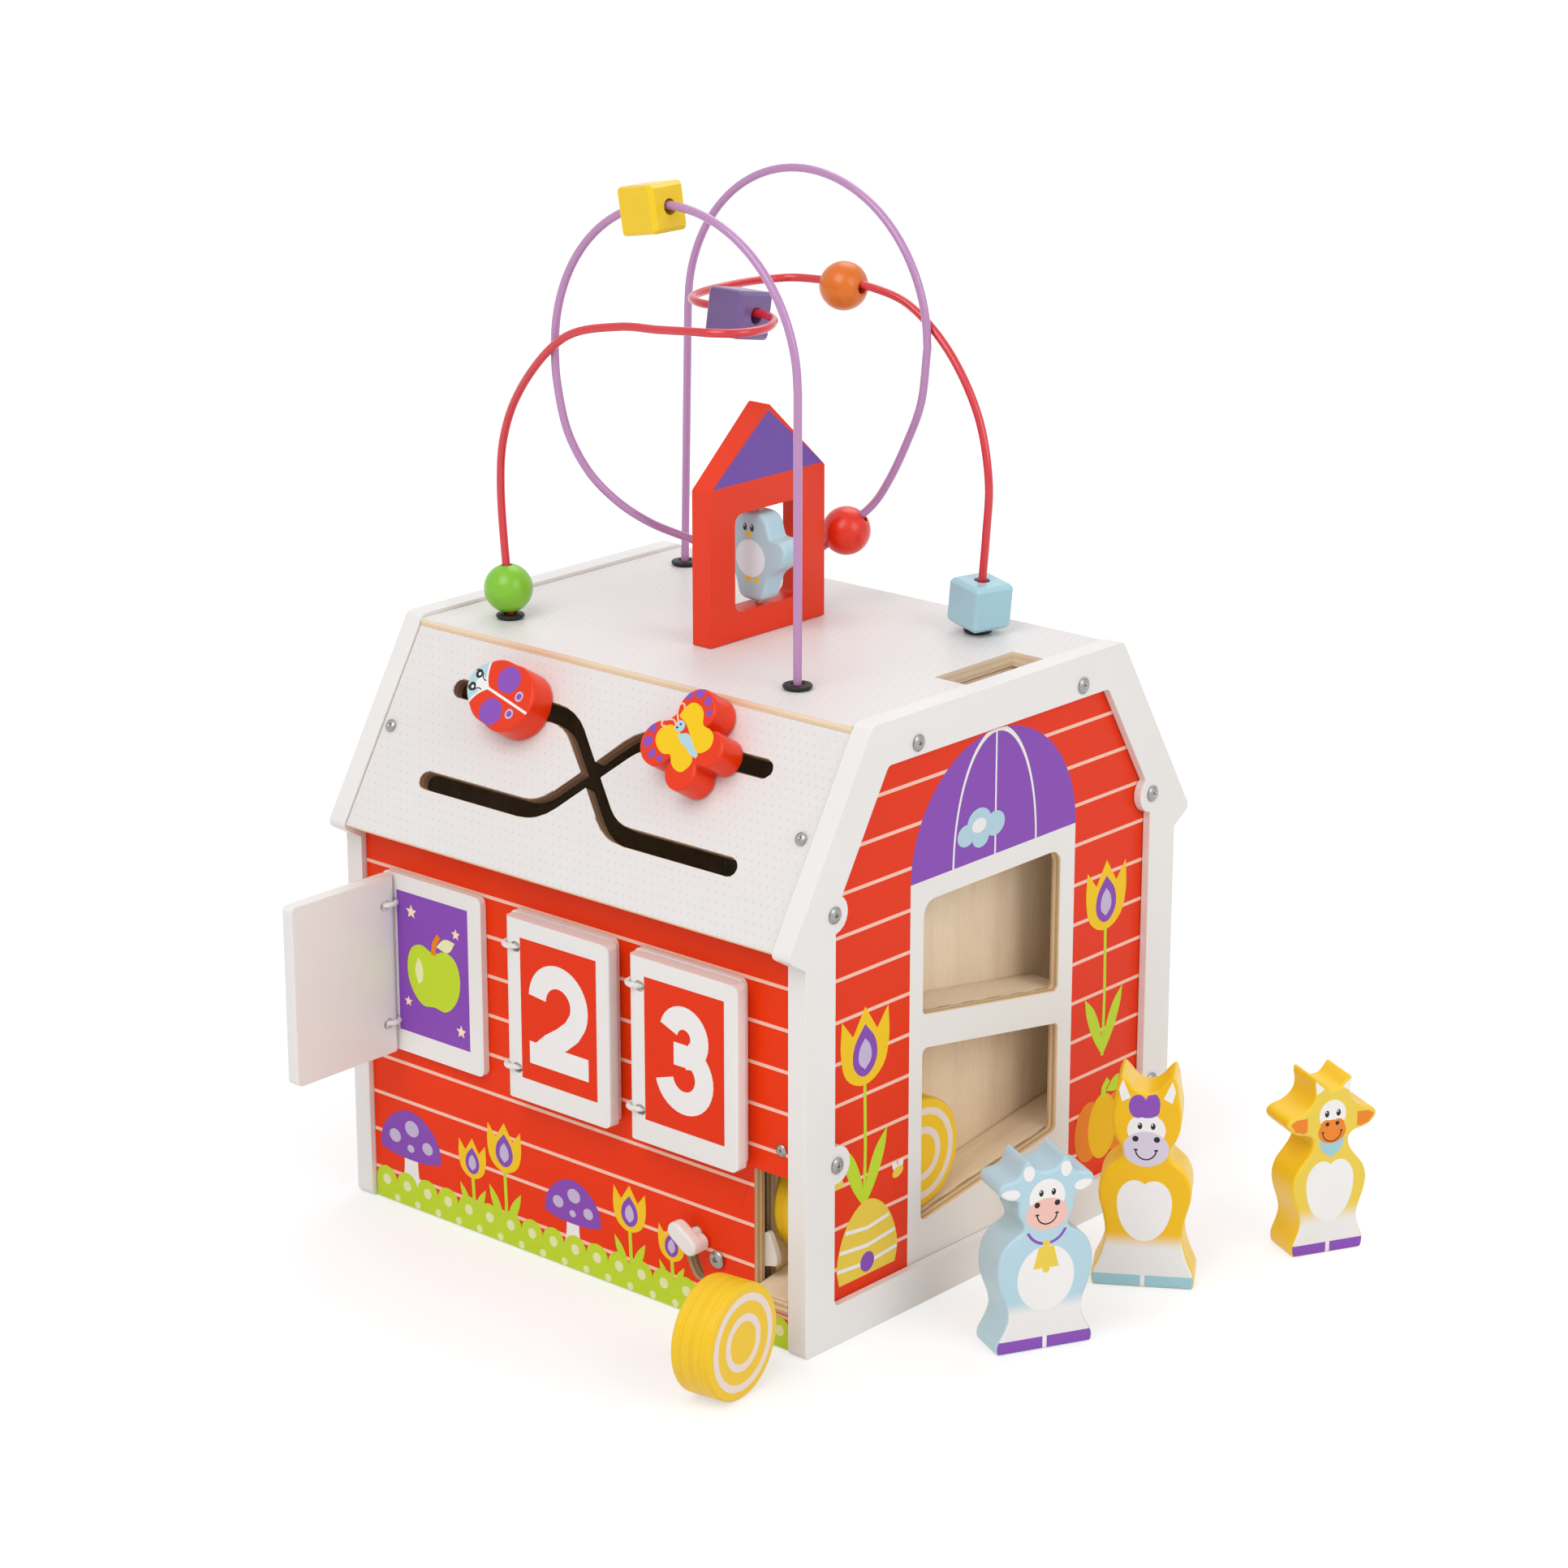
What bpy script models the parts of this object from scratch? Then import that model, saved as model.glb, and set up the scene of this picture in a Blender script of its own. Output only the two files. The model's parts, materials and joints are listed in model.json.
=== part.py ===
"""Activity barn toy: a wooden barn with a bead wire, roof track, doors and a wheel ramp.

Metres, +Z up. The origin is the middle of the barn at floor level. +X runs to the gable
with the windows, and -Y is the side with the three doors.
"""
import math

import bmesh
import bpy
from mathutils import Matrix, Vector
from mathutils.geometry import tessellate_polygon

for old in list(bpy.data.objects):
    bpy.data.objects.remove(old, do_unlink=True)

# Clearances shared by all pieces
gap = 0.0003
overrun = 0.004

# End frames
barn_length = 0.254
wall_width = 0.235
frame_thickness = 0.009
ridge_height = 0.250
roof_flat_width = 0.158
eave_height = 0.168
eave_reach = 0.0105
top_band = 0.018
slope_band = 0.0175
leg_band = 0.0175
sill_band = 0.017
top_corner_radius = 0.004
eave_corner_radius = 0.003
foot_corner_radius = 0.0025
opening_corner_radius = 0.003
screw_tab_radius = 0.008
eave_tab_inset = 0.0165
eave_tab_height = 0.180
leg_tab_inset = 0.0185
leg_tab_height = 0.0767

# Gable panels in their rebate
rebate_depth = 0.0055
rebate_lap = 0.006
window_left = 0.0425
window_right = 0.0448
window_top = 0.169
window_corner_radius = 0.006
window_bar = 0.0145
window_bottom_radius = 0.002

# Plywood roof and walls
panel_thickness = 0.006
roof_top_width = 0.1608
roof_top_recess = 0.0017
slope_recess = 0.0008
slope_end_margin = 0.002
side_recess = 0.0025
side_foot_height = 0.003

# Wheel bay
bay_wall_thickness = 0.005
bay_wall_front = 0.1025
upper_ramp_height = 0.1152
upper_ramp_pitch = 0.164
lower_ramp_height = 0.0396
lower_ramp_pitch = 0.145
ramp_thickness = 0.006
ramp_drop_length = 0.052
notch_front = 0.0075
notch_back = 0.042
exit_headroom = 0.002
wheel_diameter = 0.047
wheel_width = 0.018
wheel_side_clearance = 0.0015
wheel_edge = 0.0018
tread_groove_depth = 0.0005
tread_groove_width = 0.0008
tread_grooves = 3
floor_wheel_x = 0.122
floor_wheel_y = -0.159
floor_wheel_yaw = 7.2

# Roof track and its two sliders
track_width = 0.0075
track_upper_share = 0.242
track_lower_share = 0.696
track_half_length = 0.0835
track_bend_radius = 0.022
track_diagonal_angle = 45
stem_clearance = 0.0005
stem_socket_depth = 0.006
stem_disc_radius = 0.007
stem_disc_thickness = 0.003
ladybird_x = -0.0495
ladybird_length = 0.038
ladybird_thickness = 0.013
ladybird_tilt = 12
butterfly_x = 0.053
butterfly_span = 0.0385
butterfly_thickness = 0.014
butterfly_tilt = 39
slider_edge = 0.001

# Doors, the plates behind them and their cord loops
plate_centres = (-0.0760, -0.0012, 0.0670)
plate_width = 0.0575
plate_height = 0.078
plate_thickness = 0.0032
plate_bottom = 0.073
door_width = 0.0578
door_height = 0.0775
door_thickness = 0.006
door_edge_radius = 0.001
door_corner_radius = 0.003
door_shift = 0.0023
open_door_angle = 90
loop_radius = 0.0043
loop_cord_radius = 0.001
loop_margin_low = 0.0135
loop_margin_high = 0.0120
knot_radius = 0.0022
knot_length = 0.003

# Gate lever of the exit
pivot_x = 0.0792
pivot_z = 0.0285
peg_arm = 0.014
peg_angle = 145
gate_swing = 75
peg_radius = 0.0026
peg_clearance = 0.0006
lever_thickness = 0.003
lever_boss_radius = 0.0055
tongue_arm = 0.026
tongue_angle = 20
tongue_radius = 0.008
knob_length = 0.018
knob_width = 0.0095
knob_thickness = 0.009
knob_angle = -33
knob_edge = 0.0012
screw_shank_radius = 0.0015
screw_head_radius = 0.0036
screw_head_height = 0.0022
nut_radius = 0.0032
nut_thickness = 0.0022

# Birdhouse and bird
house_width = 0.070
house_centre = -0.001
house_thickness = 0.010
house_shoulder = 0.0642
house_peak = 0.0957
house_peak_radius = 0.0015
house_window_width = 0.0405
house_window_sill = 0.0117
house_window_height = 0.041
house_window_radius = 0.004
axle_radius = 0.0015
axle_socket = 0.005
bird_height = 0.037
bird_half_width = 0.0190
bird_thickness = 0.011
bird_lift = 0.002
bird_edge = 0.0012

# Bead wires and what runs on them
wire_radius = 0.00175
wire_row = 0.0555
wire_depth = 0.0048
front_loop_x = 0.0035
front_loop_z = 0.1177
front_loop_radius = 0.065
rear_loop_x = -0.0234
rear_loop_z = 0.115
rear_loop_radius = 0.066
rear_leg_lean = 0.0056
rear_post_row = 0.057
wire_reach = 0.100
wire_rise = 0.1362
grommet_radius = 0.006
grommet_neck = 0.0042
grommet_height = 0.002
grommet_depth = 0.0043
bore_radius = 0.0033
ball_radius = 0.01025
cube_size = 0.0195
cube_edge = 0.0018
yellow_cube_angle = 99.6
purple_cube_roll = 10
blue_cube_yaw = 13

# Free animals
animal_thickness = 0.020
cow_height = 0.081
cow_half_width = 0.0208
cow_x = 0.1902
cow_y = -0.0471
cow_yaw = -27.1
horse_height = 0.092
horse_half_width = 0.0209
horse_x = 0.1846
horse_y = 0.0244
horse_yaw = -57
goat_height = 0.0783
goat_half_width = 0.0208
goat_x = 0.2214
goat_y = 0.1027
goat_yaw = -27.3

# Outlines: half of a symmetric outline from the foot up, as shares of half width and height
cow_shares = (
    (0.98, 0.0), (1.0, 0.05), (0.89, 0.10), (0.77, 0.17), (0.78, 0.23), (0.88, 0.30), (0.97, 0.38),
    (0.98, 0.45), (0.94, 0.51), (0.84, 0.56), (0.66, 0.60), (0.47, 0.63), (0.47, 0.67), (0.56, 0.71),
    (0.58, 0.76), (0.57, 0.79), (0.72, 0.80), (0.88, 0.815), (0.98, 0.85), (0.94, 0.885), (0.79, 0.90),
    (0.62, 0.905), (0.53, 0.935), (0.45, 0.985), (0.37, 1.0), (0.28, 0.965), (0.14, 0.935),
)
horse_shares = (
    (0.98, 0.0), (1.0, 0.06), (0.86, 0.135), (0.77, 0.21), (0.75, 0.27), (0.81, 0.35), (0.89, 0.42),
    (0.88, 0.49), (0.77, 0.55), (0.58, 0.59), (0.45, 0.625), (0.46, 0.66), (0.56, 0.69), (0.65, 0.75),
    (0.67, 0.81), (0.64, 0.865), (0.60, 0.915), (0.58, 0.96), (0.51, 1.0), (0.41, 0.985), (0.27, 0.945),
    (0.12, 0.92),
)
goat_shares = (
    (0.77, 0.0), (0.80, 0.06), (0.69, 0.135), (0.64, 0.19), (0.68, 0.25), (0.76, 0.31), (0.82, 0.38),
    (0.81, 0.43), (0.74, 0.48), (0.59, 0.53), (0.45, 0.58), (0.39, 0.625), (0.42, 0.66), (0.54, 0.68),
    (0.74, 0.69), (0.92, 0.72), (1.0, 0.76), (0.92, 0.79), (0.68, 0.81), (0.50, 0.84), (0.40, 0.88),
    (0.39, 0.92), (0.42, 0.975), (0.37, 1.0), (0.27, 0.975), (0.14, 0.935),
)
bird_shares = (
    (0.26, 0.0), (0.37, 0.06), (0.42, 0.16), (0.50, 0.27), (0.62, 0.34), (0.82, 0.41), (0.97, 0.52),
    (1.0, 0.62), (0.92, 0.70), (0.74, 0.73), (0.56, 0.73), (0.50, 0.82), (0.44, 0.92), (0.26, 0.99),
)
# Lobes of a slider: distance along its axis, distance across, radius, as shares of its length
ladybird_lobe_shares = ((0.12, 0.0, 0.375), (-0.08, 0.0, 0.355), (-0.25, 0.0, 0.25))
butterfly_lobe_shares = ((-0.21, 0.26, 0.245), (-0.12, 0.0, 0.24), (0.24, 0.19, 0.20))
# Red wire from its front post to its rear post: shares of reach, row and rise
red_wire_shares = (
    (-0.900, -1.000, 0.018), (-0.946, -0.991, 0.402), (-0.885, -1.020, 0.612), (-0.715, -1.063, 0.788),
    (-0.505, -1.063, 0.917), (-0.250, -1.020, 0.965), (-0.050, -0.991, 0.974), (0.120, -0.987, 0.985),
    (0.230, -0.955, 0.989), (0.300, -0.838, 0.989), (0.322, -0.667, 0.989), (0.295, -0.486, 0.989),
    (0.220, -0.306, 0.989), (0.120, -0.222, 0.989), (-0.010, -0.216, 0.989), (-0.140, -0.216, 0.989),
    (-0.250, -0.189, 0.989), (-0.340, -0.054, 0.989), (-0.385, 0.216, 0.989), (-0.390, 0.541, 0.989),
    (-0.365, 0.793, 0.989), (-0.290, 0.946, 0.993), (-0.160, 0.991, 0.996), (-0.030, 0.991, 0.998),
    (0.090, 1.005, 0.998), (0.294, 1.043, 0.958), (0.504, 1.043, 0.840), (0.665, 1.030, 0.667),
    (0.745, 0.991, 0.482), (0.737, 0.991, 0.306), (0.697, 1.000, 0.018),
)
# Purple wire between its two loops, behind the birdhouse: the same shares
purple_crossing_shares = (
    (-0.620, -0.973, 0.761), (-0.605, -0.901, 0.610), (-0.557, -0.775, 0.482), (-0.485, -0.613, 0.387),
    (-0.404, -0.432, 0.319), (-0.340, -0.198, 0.266), (-0.260, 0.108, 0.207), (-0.165, 0.450, 0.165),
    (-0.063, 0.761, 0.181), (0.035, 0.873, 0.252), (0.140, 0.965, 0.328), (0.226, 0.973, 0.414),
    (0.316, 0.973, 0.535), (0.396, 0.973, 0.675),
)
purple_cube_point = 14
orange_ball_point = 23
red_ball_point = 9

# Face counts
circle_steps = 12
wheel_steps = 28
ball_steps = 14
loop_steps = 16
cord_steps = 6
grommet_steps = 12
arc_steps = 18
wire_resolution = 2

# Worked out from the driving sizes
roof_run = wall_width / 2 + eave_reach - roof_flat_width / 2
roof_drop = ridge_height - eave_height
roof_length = math.hypot(roof_run, roof_drop)
normal_y = roof_drop / roof_length
normal_z = roof_run / roof_length
inner_half = barn_length / 2 - frame_thickness
roof_top_height = ridge_height - roof_top_recess
roof_top_edge = roof_top_width / 2 + gap
side_outer = wall_width / 2 - side_recess
side_inner = side_outer - panel_thickness
bay_width = wheel_width + wheel_side_clearance
bay_face = inner_half - bay_width
wheel_radius = wheel_diameter / 2
door_axis_y = side_outer + gap + plate_thickness + gap + door_thickness / 2
X = Vector((1, 0, 0))
Y = Vector((0, 1, 0))
Z = Vector((0, 0, 1))


def srgb(red, green, blue):
    """Linear colour of an 8-bit screen colour."""
    linear = []
    for value in (red, green, blue):
        share = value / 255
        linear.append(share / 12.92 if share <= 0.04045 else ((share + 0.055) / 1.055) ** 2.4)
    return (*linear, 1)


colours = {
    "white": ((233, 229, 226), 0.45, 0),
    "red": ((229, 72, 45), 0.35, 0),
    "plywood": ((210, 180, 140), 0.7, 0),
    "yellow": ((245, 200, 20), 0.35, 0),
    "light_blue": ((172, 210, 222), 0.4, 0),
    "green": ((140, 190, 60), 0.3, 0),
    "orange": ((220, 115, 30), 0.3, 0),
    "purple": ((105, 75, 155), 0.35, 0),
    "purple_wire": ((170, 130, 185), 0.3, 0),
    "red_wire": ((215, 50, 65), 0.3, 0),
    "black": ((25, 24, 24), 0.5, 0),
    "steel": ((180, 180, 178), 0.3, 1),
}


def paint(node, finish):
    """A node's own Principled material in one of the named finishes."""
    colour, roughness, metallic = colours[finish]
    material = bpy.data.materials.new(node)
    material.use_nodes = True
    shader = material.node_tree.nodes["Principled BSDF"]
    shader.inputs["Base Color"].default_value = srgb(*colour)
    shader.inputs["Roughness"].default_value = roughness
    shader.inputs["Metallic"].default_value = metallic
    return material


def axes(origin, u, v):
    """Placement whose local x and y run along u and v."""
    w = u.cross(v)
    place = Matrix((u, v, w)).transposed().to_4x4()
    place.translation = Vector(origin)
    return place


def add(name, bm, place, finish=None):
    """Turn a closed bmesh into an object; without a finish it is a cutter."""
    bmesh.ops.recalc_face_normals(bm, faces=bm.faces)
    mesh = bpy.data.meshes.new(name)
    bm.to_mesh(mesh)
    bm.free()
    thing = bpy.data.objects.new(name, mesh)
    thing.matrix_world = place
    bpy.context.collection.objects.link(thing)
    if finish:
        mesh.materials.append(paint(name, finish))
    else:
        thing.hide_render = True
        thing.display_type = "WIRE"
    return thing


def smooth(thing, angle=40):
    """Smooth shading with hard edges kept."""
    thing.data.shade_smooth()
    thing.data.set_sharp_from_angle(angle=math.radians(angle))
    return thing


def inset(outline, distance):
    """Outline moved inwards by a distance."""
    area = sum(a[0] * b[1] - b[0] * a[1] for a, b in zip(outline, outline[1:] + outline[:1]))
    sign = math.copysign(1, area)
    moved = []
    for i, point in enumerate(outline):
        here = Vector(point)
        before = (here - Vector(outline[i - 1])).normalized()
        after = (Vector(outline[(i + 1) % len(outline)]) - here).normalized()
        mitre = Vector((-before.y - after.y, before.x + after.x)) / (1 + before.dot(after))
        moved.append(tuple(here + mitre * distance * sign))
    return moved


def prism(name, outline, start, depth, place, finish=None, holes=(), edge=0):
    """Outline with holes, extruded along local z from start by depth, its outer edges eased."""
    full = [outline, *holes]
    caps = [inset(outline, edge), *holes] if edge else full
    levels = [(start, caps), (start + depth, caps)]
    if edge:
        levels[1:1] = [(start + edge, full), (start + depth - edge, full)]
    bm = bmesh.new()
    layers = [[bm.verts.new((*point, z)) for loop in loops for point in loop] for z, loops in levels]
    low, high = layers[0], layers[-1]
    for a, b, c in tessellate_polygon([[Vector((*point, 0)) for point in loop] for loop in caps]):
        bm.faces.new((low[a], low[b], low[c]))
        bm.faces.new((high[c], high[b], high[a]))
    first = 0
    for number, loop in enumerate(full):
        ends = list(zip(layers, layers[1:])) if number == 0 else [(low, high)]
        for i in range(len(loop)):
            a = first + i
            b = first + (i + 1) % len(loop)
            for lower, upper in ends:
                bm.faces.new((lower[a], lower[b], upper[b], upper[a]))
        first += len(loop)
    loose = [vertex for vertex in bm.verts if not vertex.link_faces]
    bmesh.ops.delete(bm, geom=loose)
    return add(name, bm, place, finish)


def lathe(name, profile, steps, place, finish=None):
    """Turn a profile of (radius, height) round local z: a ring, or a solid that ends on the axis."""
    bm = bmesh.new()
    rings = []
    for radius, height in profile:
        if radius == 0:
            rings.append([bm.verts.new((0, 0, height))])
            continue
        turns = [2 * math.pi * i / steps for i in range(steps)]
        rings.append([bm.verts.new((radius * math.sin(t), -radius * math.cos(t), height)) for t in turns])
    solid = profile[0][0] == 0
    pairs = list(zip(rings, rings[1:])) + ([] if solid else [(rings[-1], rings[0])])
    for lower, upper in pairs:
        for i in range(steps):
            j = (i + 1) % steps
            near, far = len(lower), len(upper)
            corners = [lower[i % near], lower[j % near], upper[j % far], upper[i % far]]
            bm.faces.new(list(dict.fromkeys(corners)))
    return add(name, bm, place, finish)


def circle(centre, radius, steps=circle_steps):
    turns = [2 * math.pi * (i + 0.5) / steps for i in range(steps)]
    return [(centre[0] + radius * math.cos(t), centre[1] + radius * math.sin(t)) for t in turns]


def arc(centre, radius, begin, end, steps):
    """Points on an arc between two angles in degrees, both ends included."""
    points = []
    for i in range(steps + 1):
        t = math.radians(begin + (end - begin) * i / steps)
        points.append((centre[0] + radius * math.cos(t), centre[1] + radius * math.sin(t)))
    return points


def rounded(corners, steps=4):
    """Close an outline of (u, v, radius) corners, with each corner filleted."""
    outline = []
    for i, (u, v, radius) in enumerate(corners):
        here = Vector((u, v))
        before = (Vector(corners[i - 1][:2]) - here).normalized()
        after = (Vector(corners[(i + 1) % len(corners)][:2]) - here).normalized()
        if radius == 0:
            outline.append((u, v))
            continue
        half = before.angle(after) / 2
        centre = here + (before + after).normalized() * radius / math.sin(half)
        start = here + before * radius / math.tan(half) - centre
        end = here + after * radius / math.tan(half) - centre
        sweep = math.atan2(start.x * end.y - start.y * end.x, start.dot(end))
        for k in range(steps + 1):
            turn = sweep * k / steps
            c, s = math.cos(turn), math.sin(turn)
            outline.append((centre.x + start.x * c - start.y * s, centre.y + start.x * s + start.y * c))
    return outline


def stroke(path, half_width, steps=6):
    """Outline of a round-ended slot along a path."""
    left, right = [], []
    for i, point in enumerate(path):
        ahead = Vector(path[min(i + 1, len(path) - 1)]) - Vector(path[max(i - 1, 0)])
        side = Vector((-ahead.y, ahead.x)).normalized() * half_width
        left.append((point[0] + side.x, point[1] + side.y))
        right.append((point[0] - side.x, point[1] - side.y))
    caps = []
    for end, sign, neighbour in ((path[-1], 1, path[-2]), (path[0], -1, path[1])):
        out = math.degrees(math.atan2(end[1] - neighbour[1], end[0] - neighbour[0]))
        caps.append(arc(end, half_width, out + 90, out - 90, steps)[1:-1])
    return left + caps[0] + right[::-1] + caps[1]


def hull_of_circles(circles, steps=16):
    """Convex outline round several discs of (u, v, radius)."""
    points = sorted(p for u, v, r in circles for p in circle((u, v), r, steps))
    outline = []
    for run in (points, points[::-1]):
        chain = []
        for p in run:
            while len(chain) > 1:
                a, b = chain[-2], chain[-1]
                if (b[0] - a[0]) * (p[1] - a[1]) - (b[1] - a[1]) * (p[0] - a[0]) > 0:
                    break
                chain.pop()
            chain.append(p)
        outline += chain[:-1]
    return outline


def lobed(lobes, tilt, steps=32):
    """Outer outline of discs that overlap round the origin, turned by tilt degrees."""
    outline = []
    for i in range(steps):
        t = 2 * math.pi * i / steps
        ray = Vector((math.cos(t), math.sin(t)))
        reach = 0
        for along, across, radius in lobes:
            middle = Vector((along, across))
            miss = ray.x * middle.y - ray.y * middle.x
            if abs(miss) < radius:
                reach = max(reach, ray.dot(middle) + math.sqrt(radius ** 2 - miss ** 2))
        turn = t + math.radians(tilt)
        outline.append((reach * math.cos(turn), reach * math.sin(turn)))
    return outline


def mirrored(half):
    """Whole outline from its right half."""
    return list(half) + [(-u, v) for u, v in reversed(half)]


def boolean(thing, other, operation="DIFFERENCE"):
    modifier = thing.modifiers.new(other.name, "BOOLEAN")
    modifier.operation = operation
    modifier.solver = "EXACT"
    modifier.object = other


def roof_plane(distance, inset):
    """Height of the plane that lies inset below the slanted frame edge, at a distance from the middle."""
    return ridge_height - (inset + (distance - roof_flat_width / 2) * normal_y) / normal_z


def upper_ramp_top(y):
    return upper_ramp_height - upper_ramp_pitch * y


def lower_ramp_top(y):
    return lower_ramp_height + lower_ramp_pitch * y


def gable_opening(growth):
    """Corners of the frame's opening, grown by a margin on every side."""
    top = ridge_height - top_band + growth
    leg = wall_width / 2 - leg_band + growth
    offset = slope_band - growth
    flat = roof_flat_width / 2 - (offset + (top - ridge_height) * normal_z) / normal_y
    knee = ridge_height - (offset + (leg - roof_flat_width / 2) * normal_y) / normal_z
    return [
        (-leg, sill_band - growth),
        (leg, sill_band - growth),
        (leg, knee),
        (flat, top),
        (-flat, top),
        (-leg, knee),
    ]


def gable_frame(name, side):
    """Board cut to the barn outline, with its opening, its screw tabs and a rebate for the panel."""
    flat = roof_flat_width / 2
    wall = wall_width / 2
    underside = eave_height - eave_reach * roof_run / roof_drop
    half = [
        (wall, 0, foot_corner_radius),
        (wall, underside, 0),
        (wall + eave_reach, eave_height, eave_corner_radius),
        (flat, ridge_height, top_corner_radius),
    ]
    outline = rounded(half + [(-u, v, r) for u, v, r in reversed(half)], 3)
    inner = side * inner_half
    outer = side * barn_length / 2
    place = axes((min(inner, outer), 0, 0), Y, Z)
    frame = prism(name, outline, 0, frame_thickness, place, "white")
    opening = rounded([(u, v, opening_corner_radius) for u, v in gable_opening(0)], 3)
    hole = prism(name + "_opening", opening, -overrun, frame_thickness + 2 * overrun, place)
    tabs = (
        (wall - eave_tab_inset, eave_tab_height),
        (eave_tab_inset - wall, eave_tab_height),
        (leg_tab_inset - wall, leg_tab_height),
    )
    for number, tab in enumerate(tabs, 1):
        disc = circle(tab, screw_tab_radius, 20)
        block = prism(f"{name}_tab_{number}", disc, -2 * overrun, frame_thickness + 4 * overrun, place)
        boolean(hole, block)
    boolean(frame, hole)
    rebate_start = min(inner + side * rebate_depth, inner - side * overrun)
    rebate_place = axes((rebate_start, 0, 0), Y, Z)
    rebate = prism(name + "_rebate", gable_opening(rebate_lap), 0, rebate_depth + overrun, rebate_place)
    boolean(frame, rebate)
    return frame


def gable_panel(name, side, windows):
    """Plywood panel that sits in the frame's rebate."""
    holes = []
    if windows:
        left, right = -window_left, window_right
        round_top, round_low = window_corner_radius, window_bottom_radius
        upper = [
            (left, upper_ramp_top(left), round_low),
            (right, upper_ramp_top(right), round_low),
            (right, window_top, round_top),
            (left, window_top, round_top),
        ]
        lower = [
            (left, lower_ramp_top(left), round_low),
            (right, lower_ramp_top(right), round_low),
            (right, upper_ramp_top(right) - window_bar, round_low),
            (left, upper_ramp_top(left) - window_bar, round_low),
        ]
        holes = [rounded(upper, 3), rounded(lower, 2)]
    start = inner_half + gap
    depth = rebate_depth - 2 * gap
    place = axes((start if side > 0 else -start - depth, 0, 0), Y, Z)
    return prism(name, gable_opening(rebate_lap - gap), 0, depth, place, "red", holes)


def make_gables():
    gable_frame("gable_frame_right", 1)
    gable_frame("gable_frame_left", -1)
    gable_panel("gable_panel_right", 1, True)
    gable_panel("gable_panel_left", -1, False)


def post_places():
    """Where the four wire posts pass through the roof, as (name, x, y)."""
    red_front = red_wire_shares[0]
    red_rear = red_wire_shares[-1]
    return (
        ("grommet_purple_front", front_loop_x + front_loop_radius, -wire_row),
        ("grommet_purple_rear", rear_loop_x - rear_loop_radius - rear_leg_lean, rear_post_row),
        ("grommet_red_front", red_front[0] * wire_reach, red_front[1] * wire_row),
        ("grommet_red_rear", red_rear[0] * wire_reach, red_rear[1] * wire_row),
    )


def make_roof_top():
    """Flat roof panel with the wheel notch and the four post holes."""
    end = inner_half - gap
    edge = roof_top_width / 2
    outline = [
        (-end, -edge),
        (end, -edge),
        (end, -notch_front),
        (bay_face, -notch_front),
        (bay_face, notch_back),
        (end, notch_back),
        (end, edge),
        (-end, edge),
    ]
    holes = [circle((x, y), grommet_neck + gap) for name, x, y in post_places()]
    place = axes((0, 0, roof_top_height - panel_thickness), X, Y)
    prism("roof_top_panel", outline, 0, panel_thickness, place, "white", holes)


def slope_low_end():
    """Outer corner of a roof slope's lower end, as distance from the middle and height."""
    reach = wall_width / 2 + eave_reach
    low_y = reach - slope_recess * normal_y - slope_end_margin * normal_z
    low_z = eave_height - slope_recess * normal_z + slope_end_margin * normal_y
    return low_y, low_z


def track_rows():
    """How far down the slope the upper and the lower run of the track lie."""
    fall = (slope_low_end()[0] - roof_top_edge) / normal_z
    return fall * track_upper_share, fall * track_lower_share


def slope_place(side):
    """Local axes of a roof slope: x along the barn, y down the slope, z into the barn."""
    origin = (0, side * roof_top_edge, roof_plane(roof_top_edge, slope_recess))
    along = X if side < 0 else -X
    return axes(origin, along, Vector((0, side * normal_z, -normal_y)))


def roof_slope(name, side):
    """Slanted roof panel, its upper end mitred upright against the flat panel."""
    low_y, low_z = slope_low_end()
    outline = [
        (roof_top_edge, roof_plane(roof_top_edge, slope_recess)),
        (roof_top_edge, roof_plane(roof_top_edge, slope_recess + panel_thickness)),
        (low_y - panel_thickness * normal_y, low_z - panel_thickness * normal_z),
        (low_y, low_z),
    ]
    end = inner_half - gap
    return prism(name, [(side * y, z) for y, z in outline], -end, 2 * end, axes((0, 0, 0), Y, Z), "white")


def track_path(side):
    """Centre line of one of the two crossing tracks, from an upper run to the other lower run."""
    upper, lower = track_rows()
    slant = math.radians(track_diagonal_angle)
    bend_fall = track_bend_radius * (1 - math.cos(slant))
    bend_length = track_bend_radius * math.sin(slant)
    middle = (upper + lower) / 2
    diagonal = (middle - upper - bend_fall) / math.tan(slant)
    bend_start = -(diagonal + bend_length)
    bend = arc((bend_start, upper + track_bend_radius), track_bend_radius, -90, track_diagonal_angle - 90, 4)
    half = [(-track_half_length, upper)] + bend
    whole = half + [(-x, 2 * middle - y) for x, y in reversed(half)]
    return [(side * x, y) for x, y in whole]


def make_slopes():
    front = roof_slope("roof_slope_front", -1)
    roof_slope("roof_slope_rear", 1)
    for name, side in (("track_cut_falling", 1), ("track_cut_rising", -1)):
        outline = stroke(track_path(side), track_width / 2)
        cutter = prism(name, outline, -overrun, panel_thickness + 2 * overrun, slope_place(-1))
        boolean(front, cutter)


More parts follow.
